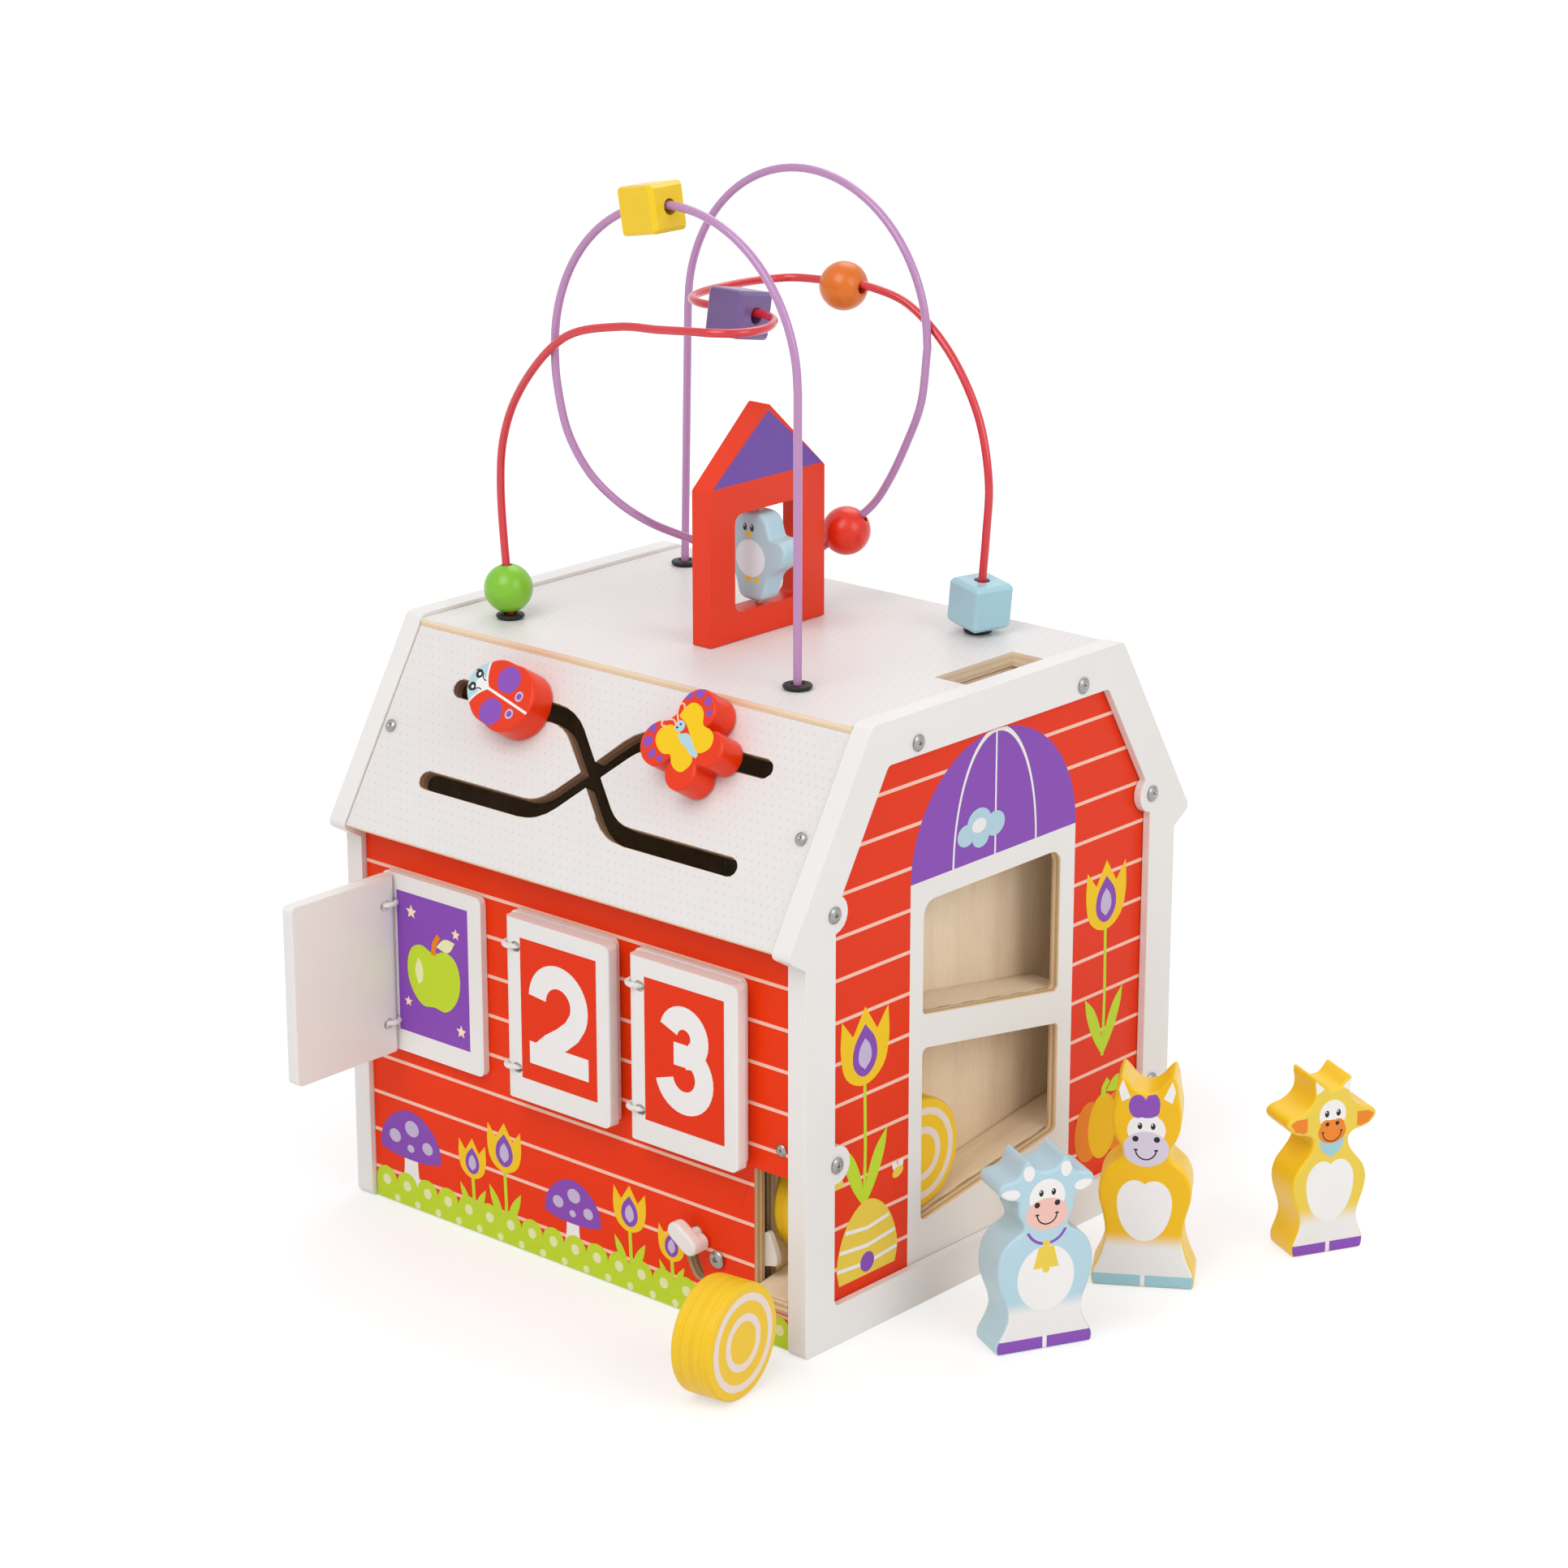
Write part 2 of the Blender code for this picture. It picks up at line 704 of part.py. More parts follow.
def slider(name, x, outline, thickness, finish):
    """Wooden block on the track, its stem through the slot and the disc that holds it behind."""
    place = slope_place(-1) @ Matrix.Translation((x, track_rows()[0], 0))
    block = prism(name, outline, -(gap + thickness), thickness, place, finish, edge=slider_edge)
    stem_radius = track_width / 2 - stem_clearance
    socket = circle((0, 0), stem_radius + gap)
    socket_cut = prism(name + "_socket", socket, -(2 * gap + stem_socket_depth),
                       stem_socket_depth + overrun, place)
    boolean(block, socket_cut)
    smooth(block)
    behind = panel_thickness + gap
    profile = [
        (0, -stem_socket_depth),
        (stem_radius, -stem_socket_depth),
        (stem_radius, behind),
        (stem_disc_radius, behind),
        (stem_disc_radius, behind + stem_disc_thickness),
        (0, behind + stem_disc_thickness),
    ]
    smooth(lathe(name + "_stem", profile, circle_steps, place, "plywood"))


def make_sliders():
    lobes = [tuple(share * ladybird_length for share in lobe) for lobe in ladybird_lobe_shares]
    slider("ladybird", ladybird_x, lobed(lobes, ladybird_tilt, 28), ladybird_thickness, "red")
    lobes = []
    for along, across, radius in butterfly_lobe_shares:
        for side in (-1, 1):
            lobes.append(tuple(share * butterfly_span for share in (along, side * across, radius)))
    slider("butterfly", butterfly_x, lobed(lobes, butterfly_tilt, 40), butterfly_thickness, "red")


def front_axes(x, z):
    """Local axes on the inner face of the front panel: x along the barn, y up, z out of the door side."""
    return axes((x, -side_inner, z), X, Z)


def hinge_places():
    """Hinge axis of each door: its x, and the heights of its two cord loops."""
    low = plate_bottom + loop_margin_low
    high = plate_bottom + door_height - loop_margin_high
    places = []
    for centre in plate_centres:
        places.append((centre - plate_width / 2 + door_shift + door_thickness / 2, low, high))
    return places


def gate_point(angle, arm):
    turn = math.radians(angle)
    return (pivot_x + arm * math.cos(turn), pivot_z + arm * math.sin(turn))


def side_panel(name, side):
    """Long wall between the end frames, tucked under the roof slope."""
    end = inner_half - gap
    foot = side_foot_height
    top = roof_plane(side_outer, slope_recess + panel_thickness) - gap / normal_z
    if side > 0:
        outline = [(-end, foot), (end, foot), (end, top), (-end, top)]
        prism(name, outline, 0, panel_thickness, axes((0, side_inner, 0), -X, Z), "red")
        return
    notch_low = lower_ramp_top(-side_outer) - ramp_thickness - gap
    notch_high = lower_ramp_top(-side_inner) + wheel_diameter + exit_headroom
    outline = [
        (-end, foot),
        (end, foot),
        (end, notch_low),
        (bay_face, notch_low),
        (bay_face, notch_high),
        (end, notch_high),
        (end, top),
        (-end, top),
    ]
    slot = [gate_point(peg_angle + gate_swing * i / 6, peg_arm) for i in range(7)]
    bore = circle((pivot_x, pivot_z), screw_shank_radius + gap)
    holes = [stroke(slot, peg_radius + peg_clearance, 4), bore]
    for x, *heights in hinge_places():
        for z in heights:
            holes.append(circle((x, z), loop_cord_radius + gap, 8))
    prism(name, outline, 0, panel_thickness, front_axes(0, 0), "red", holes)


def make_walls():
    side_panel("side_panel_front", -1)
    side_panel("side_panel_rear", 1)
    end = inner_half - gap
    wide = side_inner - gap
    floor = [(-end, -wide), (end, -wide), (end, wide), (-end, wide)]
    prism("base_board", floor, 0, panel_thickness, axes((0, 0, 0), X, Y), "plywood")


def make_bay():
    """Wall, ramps and exit lip of the narrow bay in which the wheels roll."""
    floor = panel_thickness + gap
    ceiling = roof_top_height - panel_thickness - gap
    under = slope_recess + panel_thickness + gap
    knee = roof_flat_width / 2 - (under - (ridge_height - ceiling) * normal_z) / normal_y
    knee = min(knee, roof_top_edge)
    back = side_inner - gap
    front = bay_wall_front
    outline = [
        (-front, floor),
        (back, floor),
        (back, min(roof_plane(back, under), ceiling)),
        (knee, min(roof_plane(knee, under), ceiling)),
        (knee, ceiling),
        (-knee, ceiling),
        (-knee, min(roof_plane(knee, under), ceiling)),
        (-front, min(roof_plane(front, under), ceiling)),
    ]
    outline = list(dict.fromkeys(outline))
    place = axes((bay_face - bay_wall_thickness, 0, 0), Y, Z)
    prism("bay_inner_wall", outline, 0, bay_wall_thickness, place, "plywood")
    place = axes((bay_face + gap, 0, 0), Y, Z)
    width = bay_width - 2 * gap
    ramps = (
        ("upper_ramp", upper_ramp_top, -bay_wall_front, side_inner - ramp_drop_length),
        ("lower_ramp", lower_ramp_top, -wall_width / 2, side_inner - gap),
    )
    for name, top, begin, end in ramps:
        profile = [
            (begin, top(begin) - ramp_thickness),
            (end, top(end) - ramp_thickness),
            (end, top(end)),
            (begin, top(begin)),
        ]
        prism(name, profile, 0, width, place, "plywood")


def wheel(name, centre, yaw):
    """Turned wheel with fine grooves round its tread."""
    half = wheel_width / 2
    rim = wheel_radius
    profile = [(0, -half), (rim - wheel_edge, -half), (rim, wheel_edge - half)]
    pitch = wheel_width / (tread_grooves + 1)
    for i in range(tread_grooves):
        middle = (i + 1) * pitch - half
        profile.append((rim, middle - tread_groove_width))
        profile.append((rim - tread_groove_depth, middle))
        profile.append((rim, middle + tread_groove_width))
    profile += [(rim, half - wheel_edge), (rim - wheel_edge, half), (0, half)]
    turn = math.radians(yaw)
    place = axes(centre, Vector((-math.sin(turn), math.cos(turn), 0)), Z)
    smooth(lathe(name, profile, wheel_steps, place, "yellow"), 25)


def make_wheels():
    slant = math.atan(lower_ramp_pitch)
    x = inner_half - bay_width / 2
    lift = (wheel_radius + gap) / math.cos(slant)
    first = -side_inner + 2 * gap + lever_thickness + wheel_radius
    second = first + (wheel_diameter + gap) * math.cos(slant)
    wheel("ramp_wheel_front", (x, first, lower_ramp_top(first) + lift), 0)
    wheel("ramp_wheel_rear", (x, second, lower_ramp_top(second) + lift), 0)
    wheel("floor_wheel", (floor_wheel_x, floor_wheel_y, wheel_radius), floor_wheel_yaw)


def door_plate(number, centre, axis_x, heights):
    """Thin board behind a door, with a slot where each cord loop dips into it."""
    left = centre - plate_width / 2
    top = plate_bottom + plate_height
    right = left + plate_width
    corners = ((left, plate_bottom), (right, plate_bottom), (right, top), (left, top))
    outline = rounded([(*corner, door_corner_radius) for corner in corners])
    to_plate = door_thickness / 2 + gap
    reach = loop_radius + loop_cord_radius + gap
    slot = math.sqrt(reach ** 2 - to_plate ** 2) + gap
    half = loop_cord_radius + gap
    holes = []
    for z in heights:
        holes.append([(axis_x - slot, z - half), (axis_x + slot, z - half), (axis_x + slot, z + half),
                      (axis_x - slot, z + half)])
    start = panel_thickness + gap
    prism(f"door_plate_{number}", outline, start, plate_thickness, front_axes(0, 0), "white", holes)


def door(number, axis_x, heights, opening):
    """Door with a fully rounded hinge edge and two drilled cord holes, hung on the axis of that edge."""
    half = door_thickness / 2
    right = door_width - half
    name = f"door_{number}"
    hinge_edge = arc((0, 0), half, 90, 270, 6)
    edges = [(right, -half, door_edge_radius), (right, half, door_edge_radius), (0, 0, 0)]
    free_edge = rounded(edges, 2)[:-1]
    outline = hinge_edge + free_edge
    turn = Matrix.Rotation(-math.radians(opening), 4, "Z")
    place = Matrix.Translation((axis_x, -door_axis_y, plate_bottom)) @ turn
    leaf = prism(name, outline, 0, door_height, place, "white")
    inner = loop_radius - loop_cord_radius
    outer = loop_radius + loop_cord_radius
    near = math.sqrt(max(inner ** 2 - half ** 2, 0))
    drill = (outer - near) / 2 + 2 * gap
    for label, z in zip(("lower", "upper"), heights):
        hole = place @ axes(((near + outer) / 2, 0, z - plate_bottom), X, Z)
        cutter = prism(f"{name}_{label}_hole", circle((0, 0), drill), -half - overrun,
                       door_thickness + 2 * overrun, hole)
        boolean(leaf, cutter)
    bend = arc((right - door_corner_radius, door_corner_radius), door_corner_radius, -90, 0, 4)
    beyond = right + overrun
    waste = bend + [(beyond, door_corner_radius), (beyond, -overrun), (bend[0][0], -overrun)]
    for label, base, up in (("lower", 0, Z), ("upper", door_height, -Z)):
        corner = place @ axes((0, 0, base), X, up)
        cutter = prism(f"{name}_{label}_corner", waste, -half - overrun, door_thickness + 2 * overrun, corner)
        boolean(leaf, cutter)
    smooth(leaf)


def cord_loop(name, x, z):
    """Cord ring round the hinge axis, with its tail through the wall and the knot behind."""
    ring = [(loop_radius + u, v) for u, v in circle((0, 0), loop_cord_radius, cord_steps)]
    loop = lathe(name, ring, loop_steps, axes((x, -door_axis_y, z), X, Y), "white")
    wall_back = door_axis_y - side_inner + gap
    tail_radius = loop_cord_radius - gap / 2
    profile = [
        (0, loop_radius),
        (tail_radius, loop_radius),
        (tail_radius, wall_back),
        (knot_radius, wall_back + knot_length / 3),
        (knot_radius, wall_back + knot_length * 2 / 3),
        (tail_radius, wall_back + knot_length),
        (0, wall_back + knot_length),
    ]
    tail = lathe(name + "_tail", profile, 8, axes((x, -door_axis_y, z), Z, X))
    boolean(loop, tail, "UNION")
    smooth(loop)


def make_doors():
    for number, (x, low, high) in enumerate(hinge_places(), 1):
        door_plate(number, plate_centres[number - 1], x, (low, high))
        door(number, x, (low, high), open_door_angle if number == 1 else 0)
        cord_loop(f"door_{number}_lower_loop", x, low)
        cord_loop(f"door_{number}_upper_loop", x, high)


def make_gate():
    """Lever behind the wall, with its tongue across the exit and a knob in front on a peg."""
    place = front_axes(pivot_x, pivot_z)
    peg = gate_point(peg_angle, peg_arm)
    tip = gate_point(tongue_angle, tongue_arm)
    peg = (peg[0] - pivot_x, peg[1] - pivot_z)
    tip = (tip[0] - pivot_x, tip[1] - pivot_z)
    discs = ((*peg, lever_boss_radius), (0, 0, lever_boss_radius), (*tip, tongue_radius))
    holes = [circle((0, 0), screw_shank_radius + gap), circle(peg, peg_radius + gap)]
    back = -(gap + lever_thickness)
    prism("gate_lever", hull_of_circles(discs), back, lever_thickness, place, "white", holes)
    turn = math.radians(knob_angle)
    half = Vector((math.cos(turn), math.sin(turn))) * (knob_length - knob_width) / 2
    ends = [tuple(Vector(peg) + sign * half) for sign in (-1, 1)]
    front = panel_thickness + peg_clearance
    knob_outline = stroke(ends, knob_width / 2, 8)
    knob = prism("gate_knob", knob_outline, front, knob_thickness, place, "white", edge=knob_edge)
    peg_solid = prism("gate_peg", circle(peg, peg_radius), back, front - back + knob_thickness / 2, place)
    boolean(knob, peg_solid, "UNION")
    smooth(knob)
    head = panel_thickness + gap
    nut_face = back - gap
    tail = nut_face - nut_thickness - gap
    screw = [
        (0, tail),
        (screw_shank_radius, tail),
        (screw_shank_radius, head),
        (screw_head_radius, head),
        (screw_head_radius, head + screw_head_height / 3),
        (screw_head_radius * 0.7, head + screw_head_height * 0.85),
        (0, head + screw_head_height),
    ]
    smooth(lathe("gate_pivot_screw", screw, circle_steps, place, "steel"))
    nut = circle((0, 0), nut_radius, 6)
    bore = [circle((0, 0), screw_shank_radius + gap)]
    prism("gate_pivot_nut", nut, nut_face - nut_thickness, nut_thickness, place, "steel", bore)


def make_birdhouse():
    """House-shaped board on the roof, with a window in which the bird turns on a dowel."""
    base = roof_top_height + gap
    place = axes((0, house_centre, base), Y, Z)
    side = house_width / 2
    outline = rounded([(-side, 0, 0), (side, 0, 0), (side, house_shoulder, house_peak_radius),
                       (0, house_peak, house_peak_radius), (-side, house_shoulder, house_peak_radius)], 2)
    low, high = house_window_sill, house_window_sill + house_window_height
    half = house_window_width / 2
    corners = [(-half, low), (half, low), (half, high), (-half, high)]
    window = rounded([(u, v, house_window_radius) for u, v in corners], 3)
    house = prism("birdhouse", outline, -house_thickness / 2, house_thickness, place, "red", [window])
    axle_top = high + axle_socket
    upright = axes((0, house_centre, base), X, Y)
    bore = prism("birdhouse_bore", circle((0, 0), axle_radius + gap), -overrun, axle_top + overrun, upright)
    boolean(house, bore)
    axle = prism("bird_axle", circle((0, 0), axle_radius), 0, axle_top - gap, upright, "plywood")
    smooth(axle)
    half_outline = [(u * bird_half_width, v * bird_height) for u, v in bird_shares]
    bird_place = axes((0, house_centre, base + low + bird_lift), X, Z)
    outline = mirrored(half_outline)
    back = -bird_thickness / 2
    bird = prism("bird", outline, back, bird_thickness, bird_place, "light_blue", edge=bird_edge)
    bird_bore = prism("bird_bore", circle((0, 0), axle_radius + gap), 0, high + overrun, upright)
    boolean(bird, bird_bore)
    smooth(bird)


def on_roof(shares):
    """Place of a wire point given as shares of reach, row and rise."""
    return Vector((shares[0] * wire_reach, shares[1] * wire_row, roof_top_height + shares[2] * wire_rise))


def curve_through(points, steps):
    """Smooth curve through the points, as steps points for each stretch."""
    padded = [2 * points[0] - points[1], *points, 2 * points[-1] - points[-2]]
    out = []
    for a, b, c, d in zip(padded, padded[1:], padded[2:], padded[3:]):
        for i in range(steps):
            t = i / steps
            out.append(0.5 * (2 * b + (c - a) * t + (2 * a - 5 * b + 4 * c - d) * t ** 2
                              + (3 * b - a - 3 * c + d) * t ** 3))
    return out + [points[-1]]


def wire(name, points, finish):
    """Bent wire as a bevelled curve with filled ends."""
    curve = bpy.data.curves.new(name, "CURVE")
    curve.dimensions = "3D"
    curve.bevel_depth = wire_radius
    curve.bevel_resolution = wire_resolution
    curve.use_fill_caps = True
    spline = curve.splines.new("POLY")
    spline.points.add(len(points) - 1)
    for slot, point in zip(spline.points, points):
        slot.co = (*point, 1)
    curve.materials.append(paint(name, finish))
    thing = bpy.data.objects.new(name, curve)
    bpy.context.collection.objects.link(thing)
    return thing


def upright_loop(x, z, radius, y):
    """Half turn over the top of an upright loop, from its right side to its left."""
    return [Vector((u, y, roof_top_height + v)) for u, v in arc((x, z), radius, 0, 180, arc_steps)]


def foot(place):
    """End of a wire in its grommet, straight below a place on the roof."""
    return Vector((place[0], place[1], roof_top_height - wire_depth))


def purple_route():
    front = upright_loop(front_loop_x, front_loop_z, front_loop_radius, -wire_row)
    rear = upright_loop(rear_loop_x, rear_loop_z, rear_loop_radius, wire_row * purple_crossing_shares[-1][1])
    crossing = [on_roof(shares) for shares in purple_crossing_shares]
    between = curve_through([front[-1], *crossing, rear[0]], 2)
    legs = [foot((x, y)) for name, x, y in post_places()[:2]]
    collar = legs[1] + Z * (wire_depth + gap + grommet_height)
    return [legs[0], *front[:-1], *between[:-1], *rear, collar, legs[1]]


def red_route():
    above = curve_through([on_roof(shares) for shares in red_wire_shares], 2)
    return [foot(above[0]), *above, foot(above[-1])]


def make_wires():
    wire("wire_purple", purple_route(), "purple_wire")
    wire("wire_red", red_route(), "red_wire")
    for name, x, y in post_places():
        top = gap + grommet_height
        profile = [
            (wire_radius + gap, -grommet_depth),
            (grommet_neck, -grommet_depth),
            (grommet_neck, gap),
            (grommet_radius, gap),
            (grommet_radius, gap + grommet_height * 0.6),
            (grommet_radius * 0.85, top),
            (wire_radius + gap, top),
        ]
        place = Matrix.Translation((x, y, roof_top_height))
        smooth(lathe(name, profile, grommet_steps, place, "black"))


def ball(name, place, finish):
    """Wooden ball with its bore along local z."""
    limit = math.degrees(math.asin(bore_radius / ball_radius))
    outside = arc((0, 0), ball_radius, limit - 90, 90 - limit, 8)
    return smooth(lathe(name, outside, ball_steps, place, finish), 50)


def cube(name, place, finish):
    """Wooden cube with eased edges and its bore along local z."""
    half = cube_size / 2
    corners = [(-half, -half), (half, -half), (half, half), (-half, half)]
    square = rounded([(u, v, cube_edge) for u, v in corners], 2)
    bore = circle((0, 0), bore_radius)
    return prism(name, square, -half, cube_size, place, finish, [bore], cube_edge)


def along(origin, direction, up):
    """Placement whose local z runs along direction, with local y nearest to up."""
    w = direction.normalized()
    u = up.cross(w).normalized()
    return axes(origin, u, w.cross(u))


def hung(point, direction):
    """Centre of a bead whose bore rests on a wire with the given direction."""
    w = direction.normalized()
    down = (w * w.z - Z).normalized()
    return point + down * (bore_radius - wire_radius - gap)


def make_beads():
    red = [on_roof(shares) for shares in red_wire_shares]
    crossing = [on_roof(shares) for shares in purple_crossing_shares]
    centre = Vector((front_loop_x, -wire_row, roof_top_height + front_loop_z))
    turn = math.radians(yellow_cube_angle)
    out = Vector((math.cos(turn), 0, math.sin(turn)))
    tangent = Vector((math.sin(turn), 0, -math.cos(turn)))
    seat = centre + out * (front_loop_radius - bore_radius + wire_radius + gap)
    yellow = cube("yellow_cube", along(seat, tangent, out), "yellow")
    pivot = bpy.data.objects.new("yellow_cube_pivot", None)
    pivot.location = centre
    bpy.context.collection.objects.link(pivot)
    bpy.context.view_layer.update()
    yellow.parent = pivot
    yellow.matrix_parent_inverse = pivot.matrix_world.inverted()
    roll = math.radians(purple_cube_roll)
    i = purple_cube_point
    seat = hung(red[i], red[i - 1] - red[i + 1])
    cube("purple_cube", along(seat, X, Vector((0, math.sin(roll), math.cos(roll)))), "purple")
    i = orange_ball_point
    way = red[i + 1] - red[i - 1]
    ball("orange_ball", along(hung(red[i], way), way, Z), "orange")
    i = red_ball_point
    way = crossing[i + 1] - crossing[i - 1]
    ball("red_ball", along(hung(crossing[i], way), way, Z), "red")
    rest = gap + grommet_height + gap
    legs = (
        ("green_ball", red[0], red[1], math.sqrt(ball_radius ** 2 - bore_radius ** 2), 0),
        ("light_blue_cube", red[-1], red[-2], cube_size / 2, math.radians(blue_cube_yaw)),
    )
    for name, start, head, half, yaw in legs:
        way = (head - start).normalized()
        side = grommet_radius * math.hypot(way.x, way.y)
        rise = roof_top_height + rest + side + half * way.z - start.z
        place = along(start + way * rise / way.z, way, Vector((math.sin(yaw), math.cos(yaw), 0)))
        if name == "green_ball":
            ball(name, place, "green")
        else:
            cube(name, place, "light_blue")


def animal(name, shares, half_width, height, x, y, yaw, finish):
    """Chunky cut-out figure that stands on the floor, its printed face turned by yaw from +X."""
    turn = math.radians(yaw)
    face = Vector((math.cos(turn), math.sin(turn), 0))
    across = Vector((-math.sin(turn), math.cos(turn), 0))
    half = [(u * half_width, v * height) for u, v in shares]
    place = axes(Vector((x, y, 0)) - face * animal_thickness / 2, across, Z)
    smooth(prism(name, mirrored(half), -animal_thickness / 2, animal_thickness, place, finish))


def make_animals():
    animal("cow", cow_shares, cow_half_width, cow_height, cow_x, cow_y, cow_yaw, "light_blue")
    animal("horse", horse_shares, horse_half_width, horse_height, horse_x, horse_y, horse_yaw, "yellow")
    animal("goat", goat_shares, goat_half_width, goat_height, goat_x, goat_y, goat_yaw, "yellow")


make_gables()
make_roof_top()
make_slopes()
make_sliders()
make_walls()
make_bay()
make_wheels()
make_doors()
make_gate()
make_birdhouse()
make_wires()
make_beads()
make_animals()
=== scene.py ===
# %% [markdown]
# # An activity barn in Blender
# The toy is a small barn of painted boards. Doors, sliders, beads, a turning bird and a
# wheel ramp keep a child busy on every side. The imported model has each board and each
# moving piece in its place already. This file gives them soft edges, paint, print, ply
# edges, screws and cords, one cell at a time.

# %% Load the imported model
import json
import math

import bmesh
import bpy
from mathutils import Matrix, Vector
from mathutils.geometry import tessellate_polygon


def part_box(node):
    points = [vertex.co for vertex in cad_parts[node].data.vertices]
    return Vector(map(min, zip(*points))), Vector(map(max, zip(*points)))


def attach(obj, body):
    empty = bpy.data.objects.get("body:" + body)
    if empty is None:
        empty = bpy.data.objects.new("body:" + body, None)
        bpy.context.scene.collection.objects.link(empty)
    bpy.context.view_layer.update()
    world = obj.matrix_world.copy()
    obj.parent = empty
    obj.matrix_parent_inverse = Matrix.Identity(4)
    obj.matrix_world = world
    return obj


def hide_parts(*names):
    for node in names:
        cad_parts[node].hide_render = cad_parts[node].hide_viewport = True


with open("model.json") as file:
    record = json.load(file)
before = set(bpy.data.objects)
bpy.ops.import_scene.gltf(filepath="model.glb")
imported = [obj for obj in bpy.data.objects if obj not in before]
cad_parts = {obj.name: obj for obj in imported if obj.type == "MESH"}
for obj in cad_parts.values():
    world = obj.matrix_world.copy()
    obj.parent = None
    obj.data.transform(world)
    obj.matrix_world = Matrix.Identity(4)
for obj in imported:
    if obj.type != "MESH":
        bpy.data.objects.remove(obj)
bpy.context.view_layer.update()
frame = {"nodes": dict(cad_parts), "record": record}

X = Vector((1, 0, 0))
Y = Vector((0, 1, 0))
Z = Vector((0, 0, 1))
mm = 0.001
nodes = frame["nodes"]
bodies = frame["record"]["behaviour"]["bodies"]

# %% [markdown]
# ## The camera
# The photograph was taken from above the corner between the doors and the gable, with a
# long lens, so upright edges stay nearly parallel. The lens and place were worked out from
# the barn's own corners.

# %% Camera
camera_azimuth = math.radians(41.353)
camera_height_angle = math.radians(17.647)
camera_distance = 1.7140
camera_target = Vector((0.0126, 0, 0.1842))


def direction(azimuth, height_angle):
    """Unit vector from the barn towards a place at an azimuth from the door side."""
    level = math.cos(height_angle)
    return Vector((math.sin(azimuth) * level, -math.cos(azimuth) * level, math.sin(height_angle)))


def aim(thing, place, target):
    """Puts a camera or a lamp at a place and turns it towards a target."""
    thing.location = place
    thing.rotation_euler = (target - place).to_track_quat("-Z", "Y").to_euler()
    bpy.context.scene.collection.objects.link(thing)


lens = bpy.data.cameras.new("camera")
lens.lens = 95
lens.sensor_width = 36
camera = bpy.data.objects.new("camera", lens)
outward = direction(camera_azimuth, camera_height_angle)
aim(camera, camera_target + outward * camera_distance, camera_target)
bpy.context.scene.camera = camera
print("camera stands at", [round(value, 3) for value in camera.location])

# %% [markdown]
# ## The studio
# A white floor, a soft key lamp over the door side, a weaker fill on the gable side and a
# pale world. The floor and the world show as white to the camera by Light Path, so the
# lamps never have to burn the paint out to get a white background.

# %% Lamps and world
bpy.context.scene.view_settings.view_transform = "Standard"


def soft_lamp(name, azimuth, height_angle, distance, size, power):
    """Round area lamp that looks at the barn from an azimuth and a height, in degrees."""
    lamp = bpy.data.lights.new(name, "AREA")
    lamp.shape = "DISK"
    lamp.size = size
    lamp.energy = power
    place = camera_target + direction(math.radians(azimuth), math.radians(height_angle)) * distance
    aim(bpy.data.objects.new(name, lamp), place, camera_target)
    print(name, "lamp", power, "W")


soft_lamp("key", 8, 48, 1.9, 1.3, 13.8)
soft_lamp("fill", 88, 30, 2.0, 1.3, 9.5)
soft_lamp("back", 205, 55, 2.0, 1.3, 7.7)

# %% [markdown]
# ## Shader sums in Python
# A shader socket is wrapped in a small class, so that a mask can be written as a sum of
# places. `(y > 0.01) & (z < 0.1)` then makes the Math nodes by itself.

# %% Signals


class Signal:
    """A shader socket that Python's operators turn into Math nodes."""

    def __init__(self, sheet, socket):
        self.sheet = sheet
        self.socket = socket

    def math(self, operation, *others):
        return self.sheet.node("ShaderNodeMath", {"operation": operation}, [self, *others])

    def __add__(self, other):
        return self.math("ADD", other)

    def __mul__(self, other):
        return self.math("MULTIPLY", other)

    def __sub__(self, other):
        return self.math("SUBTRACT", other)

    def __truediv__(self, other):
        return self.math("DIVIDE", other)

    def __gt__(self, other):
        return self.math("GREATER_THAN", other)

    def __lt__(self, other):
        return self.math("LESS_THAN", other)

    def __and__(self, other):
        return self.math("MINIMUM", other)

    def __or__(self, other):
        return self.math("MAXIMUM", other)

    def __rsub__(self, other):
        return self.sheet.node("ShaderNodeMath", {"operation": "SUBTRACT"}, [other, self])

    def __abs__(self):
        return self.math("ABSOLUTE")

    __radd__ = __add__
    __rmul__ = __mul__

    def between(self, low, high):
        return (self > low) & (self < high)

    def wrap(self, step):
        """Place within a repeating step, from 0 to the step."""
        return self.math("FLOORED_MODULO", step)

    def ease(self, start, stop):
        """Smooth rise from 0 at start to 1 at stop."""
        values = {"Value": self, "From Min": start, "From Max": stop}
        return self.sheet.node("ShaderNodeMapRange", {"interpolation_type": "SMOOTHSTEP"}, values)


# %% [markdown]
# ## A sheet for each material
# One sheet holds a material's nodes. Wiring them by hand in the Shader Editor works too, but
# dozens of paints and prints would then drift apart. Here each node comes from one method, and
# the finishes of the toy share their noises, masks and gloss.

# %% Finish sheets
edge_turn = 0.72
coat_roughness = 0.25


